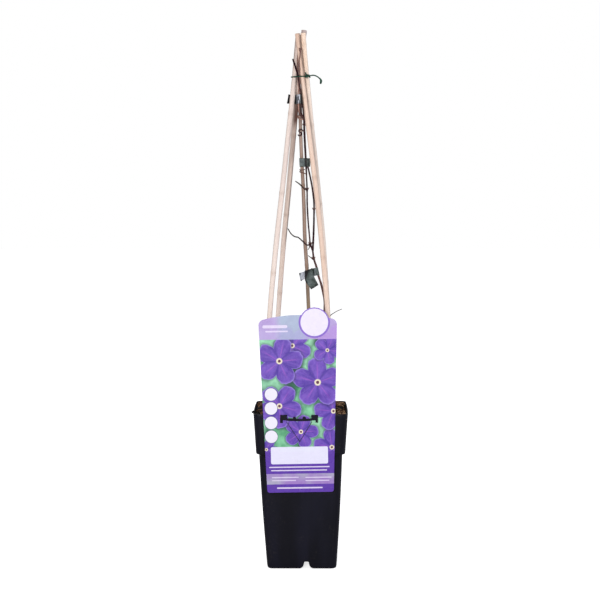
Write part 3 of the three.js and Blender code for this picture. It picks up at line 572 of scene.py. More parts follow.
def rows_round(heights, halves, inset):
    """Rows of points round the pot at some heights and half widths. The sides bow out between the
    corners, below the collar the square shifts sideways, and near the base it makes way for the
    channels."""
    section = (RIM_PLACES + (CORNER - inset) * RIM_OUTWARD) / (RIM_HALF - inset)
    shift = BASE_SHIFT * np.clip(1 - heights / COLLAR_BOTTOM, 0, 1)
    x = section[None, :, 0] * halves[:, None] + shift[:, None]
    y = section[None, :, 1] * halves[:, None]
    bend_x = RIM_BOW * halves[:, None] / RIM_HALF
    bend_y = FRONT_BOW * np.sin(np.pi * np.clip(heights / COLLAR_BOTTOM, 0, 1))[:, None]
    x = x + bend_x * RIM_OUTWARD[None, :, 0] * np.clip(1 - section[None, :, 1] ** 2, 0, 1)
    y = y + bend_y * RIM_OUTWARD[None, :, 1] * np.clip(1 - section[None, :, 0] ** 2, 0, 1)
    z = np.broadcast_to(heights[:, None], x.shape)
    room = np.clip(1 - (z - inset) / CHANNEL_FOOT_ZONE, 0, 1)
    z = z + channel_rise(x, y, inset) * room
    return np.stack([x, y, z], -1)


def base_rows(inset, count=40):
    """Rows over the base from its middle outwards."""
    share = np.linspace(0, 1, count, endpoint=False)[1:]
    halves = share * (BASE_HALF - HEEL)
    return rows_round(np.full(len(halves), float(inset)), halves, inset)


def lip_rows():
    """The rounded top of the rim, a flat half oval, from outside to inside."""
    turn = np.linspace(0, np.pi, LIP_ROWS)[1:-1]
    half_wall = WALL / 2
    heights = POT_HEIGHT + half_wall * LIP_FLATNESS * np.sin(turn)
    return rows_round(heights, RIM_HALF - half_wall + half_wall * np.cos(turn), 0)


def pot_shell():
    """One closed sheet: the base from below, up the outside, over the lip, and down the inside."""
    outside = rows_round(*pot_profile(0), 0)
    inside = rows_round(*pot_profile(WALL), WALL)[::-1]
    grid = np.concatenate([base_rows(0), outside, lip_rows(), inside, base_rows(WALL)[::-1]])
    return capped(grid)


def slab(outline, back, front, edge=0.4):
    """A flat plate from an outline in X and Z, its front and back edges rounded by two steps inwards.
    Each corner moves along the mean of its two sides' normals."""
    outline = np.asarray(outline, float)
    before = unit(outline - np.roll(outline, 1, axis=0))
    after = unit(np.roll(outline, -1, axis=0) - outline)
    normal = np.stack([before[:, 1], -before[:, 0]], -1) + np.stack([after[:, 1], -after[:, 0]], -1)
    sharpest = 0.4
    normal = normal / np.maximum((normal**2).sum(1, keepdims=True) / 2, sharpest)
    steps = [(front, edge), (front - 0.3 * edge, 0.3 * edge), (front - edge, 0),
             (back + edge, 0), (back, edge)]
    rows = [np.column_stack([outline[:, 0] - inward * normal[:, 0], np.full(len(outline), -depth),
                             outline[:, 1] - inward * normal[:, 1]]) for depth, inward in steps]
    grid = np.stack(rows)
    count, columns = grid.shape[:2]
    ring = np.arange(columns)
    caps = [ring[None], (ring[::-1] + (count - 1) * columns)[None]]
    sides = quads_round(count, columns)[:, ::-1]
    return grid.reshape(-1, 3), [sides, *caps], {}


def hook_outline(hook):
    """The L-shaped hook, counterclockwise as the label's viewer sees it."""
    prong_inner = hook["outer"] + hook["prong"]
    points = [(hook["outer"], hook["top"]), (hook["outer"], hook["prong_foot"]),
              (prong_inner, hook["prong_foot"]), (prong_inner, hook["foot"]),
              (hook["inner"], hook["foot"]), (hook["inner"], hook["top"])]
    return points if hook["outer"] < hook["inner"] else points[::-1]


def bar_outline():
    """A bar that sags along a parabola between the hooks."""
    left, right, end_z = BAR_ENDS
    share = np.linspace(0, 1, 17)
    x = left + (right - left) * share
    z = end_z + 2 * (BAR_MIDDLE - end_z) * share * (1 - share)
    lower = np.stack([x, z - BAR_THICK / 2], -1)
    upper = np.stack([x, z + BAR_THICK / 2], -1)[::-1]
    return np.concatenate([lower, upper])


def bead_outline(x, z):
    """A bead's circle about its middle."""
    turn = full_turn(24)
    return np.stack([x + BEAD_RADIUS * np.cos(turn), z + BEAD_RADIUS * np.sin(turn)], -1)


def label_holder():
    """The hooks that come through the label's slots, and the bar with its beads in front of it."""
    face = LABEL_FRONT + HOLDER_GAP
    hooks = [slab(hook_outline(hook), HOOK_ROOT, HOLDER_FRONT) for hook in HOOKS]
    bar = slab(bar_outline(), face, HOLDER_FRONT - FRONT_STEP)
    beads = [slab(bead_outline(*bead), face, HOLDER_FRONT - 2 * FRONT_STEP) for bead in BAR_BEADS]
    return [*hooks, bar, *beads]


def pot_material():
    """The pot's black plastic: faintly streaked, finely dimpled, and dusty in places."""
    material, nodes, shader = new_material("pot_plastic", Specular_IOR_Level=0.1)
    place = nodes.place()
    streak = nodes.grain(place, 160.0, 22.0)
    dust = nodes.dust(place, 38.0, 0.3)
    base = nodes.blend(streak["Broad"], "0a0a13", "11111e")
    rough = nodes.linear(dust, 0.5, nodes.linear(streak["Fine"], 0.14, 0.36))
    wave = nodes.linear(nodes.noise(place, 60.0, 2.0), 3.0, nodes.noise(place, 900.0, 3.0, 0.6))
    dress(nodes, shader, nodes.blend(dust, base, "2e2a2c"), rough, wave, 0.25, 0.0004)
    return material


pot_plastic = pot_material()
pot = make_piece("pot_shell", [pot_shell()], pot_plastic)
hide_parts("pot")
make_piece("label_holder", label_holder(), pot_plastic, smooth=False)

# ---- Potting mix ------------------------------------------------------------------------------------

SOIL_SLOPE = (-60, 50)            # from the first place to the second one the mix rises to the back
SOIL_ROUGHNESS = [(1.5, 19, 1), (1.0, 7, 2), (0.7, 2.6, 3)]   # height, size and seed of its lumps
SOIL_EDGE, SOIL_EDGE_WIDTH, SOIL_EDGE_DROP = 7, 5, 1.2   # it sinks a little along the pot's wall
SOIL_WALL_TOP = 209               # the mix's sides end here, under its rough top
SOIL_ROWS, SOIL_GAP = 96, 0.4     # rows of the rough top, and from the outermost one to the sides


def soil_height(x, y):
    """Level of the mix: it rises to the back, heaps up a little, and is rough at three scales."""
    start, end = SOIL_SLOPE
    back = SOIL_FRONT + (SOIL_BACK - SOIL_FRONT) * np.clip((y - start) / (end - start), 0, 1)
    rough = sum(height * lattice_noise(x, y, cell, seed) for height, cell, seed in SOIL_ROUGHNESS)
    inward = RIM_HALF - np.maximum(np.abs(x), np.abs(y))
    wall = np.clip((SOIL_EDGE - inward) / SOIL_EDGE_WIDTH, 0, 1)
    return back + rough - SOIL_EDGE_DROP * wall


def soil_block():
    """The mix as the pot's inside: its base and walls, and a rough top in rows that close in."""
    heights, halves = pot_profile(SOIL_INSET)
    below = heights < SOIL_WALL_TOP
    walls = rows_round(heights[below], halves[below], SOIL_INSET)
    share = np.linspace(1, 0, SOIL_ROWS, endpoint=False)
    edge_half = RIM_HALF - SOIL_INSET - SOIL_GAP
    top = rows_round(np.full(len(share), SOIL_FRONT), share * edge_half, SOIL_INSET)
    top[..., 2] = soil_height(top[..., 0], top[..., 1])
    return capped(np.concatenate([base_rows(SOIL_INSET), walls, top]))


# Heaps of curled threads: place, spread, count, height over the mix or the rim, and how pale.
CURLS = [(58, -22, 5, 20, 1.6, 1.0), (60, -44, 3, 6, 3.4, 1.0), (56, 4, 7, 14, 1.0, 0.9),
         (-58, -20, 5, 16, 1.0, 0.2), (-60, -42, 3, 6, 4.4, 0.05), (-54, 6, 8, 14, 0.5, 0.3),
         (0, 40, 40, 24, 0.4, 0.6), (-65.5, -50, 1.0, 7, 0.7, 0.0), (62, 40, 2, 8, 2.2, 0.9)]
RIM_CURL_X = 65                   # a heap this far out lies on the rim
CURL_LIMIT = 68.0                 # no thread hangs further out than this at -X
DAMP_SHARE = 0.62                 # the mix is damp, and so darker, on the side at -X
# How far round a thread curls, its arc's radius, and its own radius, from the least to the most.
THREAD_TURN, THREAD_SIZE, THREAD_THICK = (2.2, 5.4), (1.4, 3.4), (0.3, 0.56)
# The share of the fibres that lie in the corners, and from where a corner reaches outwards.
CORNER_SHARE, CORNER_X, CORNER_Y = 0.55, 42, 30


def crumbs(count, sizes, seed):
    """Small lumps on the mix: a coarse ball, each one stretched, dented and turned its own way."""
    rng = np.random.default_rng(seed)
    rows, columns, cap = 5, 6, 0.35
    polar = np.linspace(cap, np.pi - cap, rows)[:, None]
    turn = full_turn(columns)[None]
    ball = np.stack(np.broadcast_arrays(np.sin(polar) * np.cos(turn), np.sin(polar) * np.sin(turn),
                                        -np.cos(polar)), -1)
    size = rng.uniform(*sizes, count)[:, None, None, None]
    stretch = rng.uniform(0.55, 1.25, (count, 1, 1, 3))
    dent = rng.uniform(0.75, 1.2, (count, rows, columns, 1))
    spin = random_turns(rng, count)
    shapes = np.einsum("nrck,nkl->nrcl", ball[None] * stretch * dent * size, spin)
    reach = RIM_HALF - 3.5
    x, y = rng.uniform(-reach, reach, (2, count))
    centre = np.stack([x, y, soil_height(x, y) + size[:, 0, 0, 0] * 0.3], -1)
    tone = rng.uniform(0, 1, count) * np.where(x < 0, DAMP_SHARE, 1)
    return [capped(shape + place, {"tone": np.full((rows, columns), shade)})
            for shape, place, shade in zip(shapes, centre, tone)]


def random_turns(rng, count):
    """Random rotation matrices, from the axes of random frames."""
    first = unit(rng.normal(size=(count, 3)))
    second = unit(np.cross(first, rng.normal(size=(count, 3))))
    return np.stack([first, second, np.cross(first, second)], 1)


def fibres(count, seed):
    """Loose fibres of the mix: thin tubes along arcs that rise from it and fall back."""
    rng = np.random.default_rng(seed)
    reach = RIM_HALF - 4
    x, y = rng.uniform(-reach, reach, (2, count))
    # About half of them lie in the four corners, where the mix isn't pressed down.
    corner = rng.random(count) < CORNER_SHARE
    x = np.where(corner, np.sign(x) * rng.uniform(CORNER_X, reach + 1.5, count), x)
    y = np.where(corner, np.sign(y) * rng.uniform(CORNER_Y, reach + 1, count), y)
    heading = rng.uniform(0, 2 * np.pi, count)
    length = rng.uniform(5, 17, count)
    bend = rng.uniform(-0.9, 0.9, count)
    arch = rng.uniform(0.2, 2.6, count)
    thick = rng.uniform(0.16, 0.42, count)
    tone = rng.uniform(0, 1, count) * np.where(x < 0, DAMP_SHARE, 1)
    share = np.linspace(-0.5, 0.5, 7)
    limit = RIM_HALF - 2.4
    parts = []
    for i in range(count):
        angle = heading[i] + bend[i] * share
        px = np.clip(x[i] + length[i] * share * np.cos(angle), -limit, limit)
        py = np.clip(y[i] + length[i] * share * np.sin(angle), -limit, limit)
        pz = soil_height(px, py).mean() + 0.5 + arch[i] * (1 - 4 * share**2)
        path = np.stack([px, py, pz], -1)
        radius = thick[i] * (1.1 - 1.2 * share**2)
        parts.append(tube(path, radius, 4, (0.1, 0.2, 1), {"tone": np.full(len(share), tone[i])}))
    return parts


def curls(seed):
    """Curled threads of the mix: arcs of circles that lean every way, heaped in the corners."""
    rng = np.random.default_rng(seed)
    rows = 12
    parts = []
    for x, y, spread, count, above, tone in CURLS:
        for spin in random_turns(rng, count):
            turn = np.linspace(0, rng.uniform(*THREAD_TURN), rows)
            size = rng.uniform(*THREAD_SIZE)
            arc = np.stack([np.cos(turn), np.sin(turn), 0.12 * turn], -1)
            arc = arc * size * (1 - 0.05 * turn[:, None])
            px, py = np.array([x, y]) + rng.uniform(-spread, spread, 2)
            level = POT_HEIGHT if abs(x) > RIM_CURL_X else soil_height(px, py)
            path = arc @ spin * (1, 1, 0.55) + (px, py, level + above + rng.uniform(0, 0.8))
            path[:, :2] = np.clip(path[:, :2], (-CURL_LIMIT, 3 - RIM_HALF), RIM_HALF - 2.2)
            radius = rng.uniform(*THREAD_THICK) * (1 - 0.3 * np.abs(np.linspace(-1, 1, rows)))
            shade = np.clip(tone + rng.uniform(-0.8, 0.1), 0, 1)
            parts.append(tube(path, radius, 5, (0.3, 0.2, 1), {"tone": np.full(rows, shade)}))
    return parts


def peat_material(name, dark, brown, straw):
    """Peat: dark and brown lumps with straw flecks; each crumb or fibre has a tone of its own."""
    material, nodes, shader = new_material(name, Specular_IOR_Level=0.2)
    place = nodes.place()
    lump = nodes.rise(nodes.noise(place, 260.0, 4.0, 0.65), 0.36, 0.64)
    fleck = nodes.rise(nodes.noise(nodes.scaled(place, (1.0, 3.0, 2.0)), 700.0, 2.0), 0.6, 0.68)
    tone = nodes.attribute("tone")
    earth = nodes.blend(lump, dark, brown)
    earth = nodes.blend(nodes.rise(tone, 0.12, 0.0), earth, "120c08")
    light = nodes.blend(nodes.rise(tone, 0.35, 0.95), earth, straw)
    fleck = nodes.times(fleck, nodes.rise(tone, 0.0, 0.1))
    grit = nodes.noise(place, 1400.0, 4.0, 0.7)
    dress(nodes, shader, nodes.blend(fleck, light, straw), 0.92, grit, 0.9, 0.0008)
    return material


peat = make_piece("peat", [soil_block()],
                  peat_material("peat", "17100c", "3b281f", "7e5d44"))
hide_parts("soil")
make_piece("peat_crumbs", crumbs(620, (0.5, 2.2), 11),
           peat_material("peat_crumbs", "130c09", "3d281f", "6b4930"),
           smooth=False)
make_piece("peat_fibres", fibres(420, 12) + curls(13),
           peat_material("peat_fibres", "3a2015", "80502f", "e0bb94"))

# ---- Canes ------------------------------------------------------------------------------------------

# Heights between which a cane turns to the colour of its foot, and to that of its head. The centre
# cane is shorter and turns lower down.
FOOT_FADE, HEAD_FADE, SHORT_CANE_HEAD_FADE = (420, 330), (660, 705), (560, 592)


def cane_rings(node):
    """The centres and radii of a CAD cane's rings, foot first, on the pot's axis. Its corners fall
    into clusters by height, one for each ring."""
    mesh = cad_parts[node].data
    corners = np.zeros(len(mesh.vertices) * 3, np.float32)
    mesh.vertices.foreach_get("co", corners)
    corners = corners.reshape(-1, 3).astype(float) / MM - (0.0, AXIS_Y, 0.0)
    corners = np.unique(corners.round(3), axis=0)
    corners = corners[corners[:, 2].argsort()]
    rings = np.split(corners, np.flatnonzero(np.diff(corners[:, 2]) > 1) + 1)
    centres = np.array([ring.mean(0) for ring in rings])
    radii = np.array([np.linalg.norm(ring - ring.mean(0), axis=1).mean() for ring in rings])
    return centres, radii


def cane_facts(node):
    """A cane's path, the distances of its joints along it, and its radius at every millimetre."""
    centres, radii = cane_rings(node)
    heights, bows = zip(*CANE_BOWS.get(node, [(0, 0)]))
    centres[:, 0] += np.interp(centres[:, 2], heights, bows)
    path = smooth_path(centres, 1.0)
    distance = lengths_along(centres) * lengths_along(path)[-1] / lengths_along(centres)[-1]
    beside = (np.roll(radii, 1) + np.roll(radii, -1)) / 2
    joint = radii - beside > JOINT_BULGE
    plain = np.interp(lengths_along(path), distance[~joint], radii[~joint])
    fade = SHORT_CANE_HEAD_FADE if node == "cane_centre" else HEAD_FADE
    return {"path": path, "joints": distance[joint], "radius": plain, "head_fade": fade}


CANE_FACTS = {node: cane_facts(node) for node in CANES}
# Dark marks on the canes: grooves and darker sides, and painted shade where the canes' tops meet and
# where the leader passes before a cane. Each mark: lowest and highest place, the direction that it
# faces (0 is +X and 90 is +Y), half its width in degrees, and how dark it is.
CANE_STAINS_AND_SHADE = {
    # Painted shade: the first mark, on the right side at the top, darkens the gap between the front
    # canes' tops.
    "cane_front_left": [(660, 752, -22, 40, 0.9), (215, 640, -5, 30, 0.25), (215, 690, 186, 24, 0.35),
                        (684, 756, 182, 46, 0.85)],
    "cane_back_left": [(440, 640, -10, 46, 1.0), (604, 674, -60, 86, 1.0), (556, 640, -45, 80, 0.5),
                       (662, 756, 185, 60, 0.4), (230, 560, -4, 40, 0.35), (230, 620, 186, 26, 0.2)],
    # Painted shade: the first two marks, on the right side near the top, are a shadow line beside the
    # back right cane, and the third, on the left side, is shade where the leader passes before it.
    "cane_front_right": [(680, 752, -34, 40, 0.9), (655, 700, -20, 26, 0.5), (622, 692, 204, 36, 0.9),
                         (240, 600, -2, 26, 0.2), (215, 740, 188, 28, 0.4)],
    # Painted shade: the first mark, on the left side at the top, darkens the gap beside the front right
    # cane.
    "cane_back_right": [(664, 726, 176, 44, 0.7), (215, 740, -5, 30, 0.3)],
    # Painted shade: all the centre cane's marks, on both its sides, and on its front where the tapes,
    # twigs and stems pass before it.
    "cane_centre": [(215, 640, 0, 40, 0.9), (215, 640, 184, 40, 0.85), (612, 668, 270, 120, 0.8),
                    (374, 400, 270, 120, 0.45), (436, 462, 270, 120, 0.3)],
}

JOINT_REACH, JOINT_ROWS = 7, 29   # the close rows of a cane, this far to both sides of a joint
CANE_STEP = 4.0                   # and from row to row elsewhere
FLARE_REACH = 45                  # from a cut end down to where the cane stops growing thicker
BORE_SHARE, BORE_DEPTH = 0.42, 12.0   # the bore's share of the cane's radius, and its depth
# The ridge at a joint, the leaf scar's thin ring and the groove between: place, half width, height.
JOINT_BUMPS = [(0, 2.4, 0.24), (-3.2, 0.7, 0.12), (-2.0, 0.6, -0.1)]
STAIN_FADE = 22                   # from a stain's lower or upper end to its full strength


def cane_part(facts, stains_and_shade, seed, columns=26):
    """A bamboo cane: a slightly oval rod, with a ridge and a leaf scar's thin ring at each joint, and
    a hollow sawn end on top. The profile turns in over the sawn edge and runs down into the bore. Its
    attribute stain, real dark marks and painted shade alike, fades from the middle of each dark side
    towards that side's edges and ends, and its attribute depth darkens the bore as painted shade."""
    length = lengths_along(facts["path"])[-1]
    rng = np.random.default_rng(seed)
    fine = (facts["joints"][:, None] + np.linspace(-JOINT_REACH, JOINT_REACH, JOINT_ROWS)).ravel()
    fine = fine[(fine > 0) & (fine < length - 1)]
    coarse = np.arange(0, length, CANE_STEP)
    coarse = coarse[np.abs(coarse[:, None] - facts["joints"]).min(1) > JOINT_REACH + 0.2]
    at = np.sort(np.concatenate([coarse, fine, [length - 0.5]]))
    radius = np.interp(at, lengths_along(facts["path"]), facts["radius"])
    joint = np.zeros(len(at))
    for centre in facts["joints"]:
        for place, half_width, height in JOINT_BUMPS:
            radius = radius + bump(at, centre + place, half_width, height)
        joint = joint + bump(at, centre - 1.2, 3.0, 1.0)
    swell = 0.06 * np.sin(at / rng.uniform(34, 50) + rng.uniform(0, 6))
    radius = radius + swell + TIP_FLARE * np.clip(1 - (length - at) / FLARE_REACH, 0, 1)
    edge, bore = radius[-1], BORE_SHARE * radius[-1]
    # The sawn face and the bore below it: distance, radius, how far it is cut wood, and how deep, which
    # darkens the bore as painted shade.
    top = np.array([(length, edge - 0.35, 0.6, 0), (length, 0.75 * edge, 1, 0), (length, bore, 1, 0.2),
                    (length - 0.8, bore * 0.96, 1, 1), (length - BORE_DEPTH, bore * 0.9, 1, 1)])
    path = resample(facts["path"], at=at)
    tangent = unit(np.gradient(path, axis=0))
    tangent = np.concatenate([tangent, np.repeat(tangent[-1:], len(top), 0)])
    tip = facts["path"][-1]
    lean = unit(tip - facts["path"][-6])
    path = np.concatenate([path, tip + lean * (top[:, :1] - length)])
    distance = np.concatenate([at, top[:, 0]])
    radius = np.concatenate([radius, top[:, 1]])
    turn = full_turn(columns)
    oval = 1 + 0.02 * np.cos(2 * turn + rng.uniform(0, 6)) + 0.008 * np.cos(5 * turn)
    # Dark marks: real grooves and darker sides, and in places painted shade where the canes meet or the
    # leader passes.
    stain = np.zeros((len(path), columns))
    for low, high, facing, half_width, dark in stains_and_shade:
        off = (np.degrees(turn) - facing + 180) % 360 - 180
        side = np.clip(1.3 - np.abs(off) / half_width, 0, 1)
        ends = np.clip(np.minimum(path[:, 2] - low, high - path[:, 2]) / STAIN_FADE, 0, 1)
        stain = np.maximum(stain, dark * side[None] * ends[:, None])
    foot, head = (np.clip((path[:, 2] - start) / (end - start), 0, 1)
                  for start, end in (FOOT_FADE, facts["head_fade"]))
    cut, depth = (np.append(np.zeros(len(at)), top[:, column]) for column in (2, 3))
    joint = np.append(joint, np.zeros(len(top)))
    extra = {"joint": joint, "cut": cut, "depth": depth, "stain": stain, "foot": foot, "head": head}
    return tube(path, radius[:, None] * oval, columns, extra=extra, tangent=tangent, distance=distance)


def bamboo_material(name, pale, deep, stain, stain_share, groove_and_shade, foot, head, seed):
    """Bamboo: pale skin with fine fibre streaks, a stain that drifts along the cane, darker joints,
    dark marks along grooves and sides that are in places painted shade, and a fibrous sawn end whose
    bore is painted dark as shade."""
    material, nodes, shader = new_material(
        name, Specular_IOR_Level=0.35, Coat_Weight=0.08, Coat_Roughness=0.3)
    straight = nodes.attribute("straight", "Vector")
    # Each cane takes its grain from another place of the noise.
    moved = {"Vector": straight, "Location": (seed, 2 * seed, 3 * seed)}
    offset = nodes.add("Mapping", moved).outputs[0]
    streak = nodes.grain(offset, 2600.0, 60.0)
    drift = nodes.rise(nodes.noise(nodes.scaled(offset, (180.0, 180.0, 9.0)), 1.0, 3.0, 0.6), 0.34, 0.7)
    skin = nodes.blend(streak["Fine"], pale, deep)
    skin = nodes.coat(skin, nodes.attribute("foot"), nodes.linear(drift, 0.4, 0.5), foot)
    skin = nodes.coat(skin, nodes.attribute("head"), nodes.linear(drift, 0.3, 0.6), head)
    skin = nodes.coat(skin, drift, stain_share, stain)
    speck = nodes.rise(nodes.noise(nodes.scaled(offset, (900.0, 900.0, 300.0)), 1.0, 2.0), 0.68, 0.74)
    skin = nodes.coat(skin, speck, 0.5, "6d4a34")
    faint, ragged = nodes.linear(streak["Broad"], 0.22, 0.08), nodes.linear(streak["Broad"], 0.35, 0.75)
    skin = nodes.coat(skin, nodes.attribute("joint"), faint, "8f6a4e")
    # The dark marks, in places painted shade.
    skin = nodes.coat(skin, nodes.attribute("stain"), ragged, groove_and_shade)
    sawn = nodes.blend(streak["Fine"], "d9c3a6", "9c7f66")
    skin = nodes.blend(nodes.attribute("cut"), skin, sawn)
    # Painted shade: the bore darkens with depth.
    skin = nodes.blend(nodes.attribute("depth"), skin, "2a1c14")
    dress(nodes, shader, skin, nodes.linear(streak["Fine"], 0.2, 0.42), streak["Fine"], 0.35, 0.00025)
    return material


# Pale and deep skin, the stain that drifts along it and how strong that is, the colour of the dark
# marks along grooves and sides, which in places is painted shade, the foot and the head.
CANE_PAINTS = {
    "cane_front_left": ("eddfd6", "dfcec5", "d0c0bc", 0.4, "6f5a4c", "ead9ca", "bba69d"),
    "cane_back_left": ("f9e6da", "ead5c7", "d4bdb0", 0.35, "4c2618", "fff0e6", "877c86"),
    "cane_front_right": ("e9d2c2", "dcbfac", "cfb3a3", 0.4, "4b2d16", "ecd9cb", "d0ae99"),
    "cane_back_right": ("f4e6db", "e6d6c9", "d0bfb2", 0.3, "5f4a28", "eadccf", "ecd0b8"),
    # The centre cane's colours are painted darker, as shade for standing behind the other canes and the
    # stems.
    "cane_centre": ("aa9083", "816959", "715b4b", 0.5, "2c1d17", "857a52", "b49c90"),
}
for order, node in enumerate(CANES):
    bamboo = bamboo_material("bamboo_" + node, *CANE_PAINTS[node], 0.013 + 0.016 * order)
    part = cane_part(CANE_FACTS[node], CANE_STAINS_AND_SHADE[node], 20 + order)
    cane = make_piece("bamboo_" + node, [part], bamboo)
    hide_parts(node)

# ---- The climber ------------------------------------------------------------------------------------

SHOOT_PATHS = {name: smooth_path(route, 1.3) for name, (_, route) in SHOOTS.items()}


def at_height(path, height):
    """The place of an upward path at one height, or at each of several."""
    x, y = (np.interp(height, path[:, 2], path[:, axis]) for axis in (0, 1))
    return np.stack([x, y, np.broadcast_to(height, np.shape(x))], -1)


JOINT_SWELL = 2.2                 # how far from a joint's middle the stem swells


def shoot_part(name, columns=14):
    """A stem with six soft ribs that wind slowly, swollen at its joints, and rough where bark peels.
    Thin stems have no ribs, and their tone fades towards the tip."""
    girth = SHOOTS[name][0]
    path = SHOOT_PATHS[name]
    distance = lengths_along(path)
    share = distance / distance[-1]
    woody = name in WOODY
    if name == "leader":
        plain = np.interp(path[:, 2], *zip(*girth))
    else:
        plain = girth[0] + (girth[1] - girth[0]) * share
    for place, radius, _ in STEM_JOINTS:
        nearest = np.linalg.norm(path - place, axis=1)
        plain = plain + (radius - plain) * bump(nearest, 0, JOINT_SWELL, 0.9)
    turn = full_turn(columns)
    rib = 0.07 * np.cos(6 * turn[None] + distance[:, None] / 26) if woody else 0.0
    peel = 0.08 * lattice_noise(distance[:, None] / 2.2, 5 * turn[None], 1.0, 31)
    radius = plain[:, None] * (1 + rib + peel)
    radius[-1] *= 0.7
    tone = np.ones(len(path)) if woody else 1 - 0.8 * np.minimum(share * 1.6, 1)
    youth_and_highlight = np.interp(path[:, 2], *zip(*YOUTH_AND_HIGHLIGHT.get(name, [(0, 0.0)])))
    return tube(path, radius, columns, extra={"tone": tone, "youth_and_highlight": youth_and_highlight})


def bark_values(path, tone, youth_and_highlight):
    """The same tone and paleness of the bark, young bark and painted highlight alike, all along a path.
    """
    return {"tone": np.full(len(path), tone), "youth_and_highlight": np.full(len(path), youth_and_highlight)}


def tendril_part(height, turns, climb, thick, youth_and_highlight):
    """A leaf stalk that leaves the leader, meets the centre cane along a tangent and winds up it. Each
    turn tilts: it rises by half a pitch and falls again, as a curl that has dried does."""
    facts = CANE_FACTS["cane_centre"]
    reach = np.interp(height, facts["path"][:, 2], facts["radius"]) + TENDRIL_GAP
    cane = at_height(facts["path"], height)
    start = at_height(SHOOT_PATHS["leader"], height - 3)
    away = start[:2] - cane[:2]
    begin = math.atan2(away[1], away[0]) - math.acos(reach / np.linalg.norm(away))
    share = np.linspace(0, 1, round(30 * turns))
    angle = begin - 2 * np.pi * turns * share
    rise = climb * share + TENDRIL_TILT * np.sin(angle * 0.9 + height)
    centre = at_height(facts["path"], height + rise)
    coil = centre + reach * np.stack([np.cos(angle), np.sin(angle), np.zeros_like(angle)], -1)
    path = smooth_path(np.vstack([start, coil]), 0.8)
    radius = np.linspace(1.15, 0.8, len(path)) * thick
    return tube(path, radius, 8, (0, 0, 1), bark_values(path, 1.0, youth_and_highlight))


def bud_part(place, radius, length, side):
    """A pointed bud: its section swells and runs out to a point as it leans up and outwards."""
    share = np.linspace(0, 1, 12)
    lean = np.stack([side * (0.15 + 0.75 * share**0.8), -0.25 * share, 0.15 + 0.9 * share**1.3], -1)
    path = np.asarray(place) + lean * (length + radius) * 0.72
    thick = radius * 0.62 * np.sqrt(np.clip(1 - share, 0, 1)) * (0.75 + 0.8 * share * (1 - share) * 2)
    return tube(path, np.maximum(thick, 0.05), 8, extra=bark_values(path, 0.85, 0.35))


def bark_material():
    """Bark: dark purple brown on woody stems and greener on thin ones, streaked where it peels, and
    pale and reddish where it is young, which in places is painted highlight.
    """
    material, nodes, shader = new_material("stem_bark", Specular_IOR_Level=0.15)
    straight = nodes.attribute("straight", "Vector")
    streak = nodes.grain(straight, 3200.0, 240.0)
    place = nodes.place()
    patch = nodes.rise(nodes.noise(place, 130.0, 3.0, 0.6), 0.4, 0.62)
    woody = nodes.blend(streak["Fine"], "10040b", "280b1a")
    woody = nodes.coat(woody, patch, 0.32, "42191f")
    # Pale reddish bark: young bark, and in places painted highlight.
    youth_and_highlight = nodes.blend(streak["Fine"], "8a5a51", "d8b0a1")
    woody = nodes.blend(nodes.attribute("youth_and_highlight"), woody, youth_and_highlight)
    thin = nodes.blend(streak["Fine"], "1c1b16", "3b382d")
    skin = nodes.blend(nodes.attribute("tone"), thin, woody)
    flake = nodes.times(nodes.rise(streak["Broad"], 0.75, 0.95), 0.16)
    skin = nodes.blend(flake, skin, "9a7766")
    dress(nodes, shader, skin, nodes.linear(streak["Fine"], 0.25, 0.5), streak["Fine"], 0.6, 0.0003)
    return material


plant_parts = [shoot_part(name) for name in SHOOTS]
plant_parts += [tendril_part(*tendril) for tendril in TENDRILS]
curl_path = smooth_path(LOOSE_CURL[1], 0.7)
plant_parts.append(tube(curl_path, LOOSE_CURL[0], 8, (0.1, 1, 0.2), bark_values(curl_path, 1.0, 0.04)))
plant_parts += [bud_part(*joint, side) for joint in STEM_JOINTS for side in (-1, 1)]
plant = make_piece("climber_stems", plant_parts, bark_material())
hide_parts("clematis")

# ---- Ties -------------------------------------------------------------------------------------------


def rods_at(height, canes, shoots, tilt=LEVEL):
    """Centres and radii of the rods that a tie holds, where they pass through a level sheet at one
    height, or through one that rises with X."""
    slope, level_x = tilt
    rods = [(CANE_FACTS[node]["path"], CANE_FACTS[node]["radius"]) for node in canes]
    rods += [(SHOOT_PATHS[name], TIED_SHOOT) for name in shoots]
    circles = []
    for path, radius in rods:
        level = height + slope * (at_height(path, height)[0] - level_x)
        radius = np.interp(level, path[:, 2], np.broadcast_to(radius, len(path)))
        circles.append([*at_height(path, level)[:2], radius])
    return np.array(circles)


DIRECTIONS = 720                  # in which an outline's reach is found


def outline_round(circles, margin, count):
    """The tight outline round some circles: in each direction it takes the point of the circle that
    reaches furthest, and the points are then spaced evenly along the whole."""
    turn = np.linspace(-np.pi, np.pi, DIRECTIONS, endpoint=False)
    way = np.stack([np.cos(turn), np.sin(turn)], -1)
    reach = way @ circles[:, :2].T + circles[:, 2]
    best = circles[reach.argmax(1)]
    points = best[:, :2] + (best[:, 2:] + margin) * way
    closed = np.column_stack([np.vstack([points, points[:1]]), np.zeros(len(points) + 1)])
    return resample(closed, at=np.linspace(0, lengths_along(closed)[-1], count, endpoint=False))[:, :2]


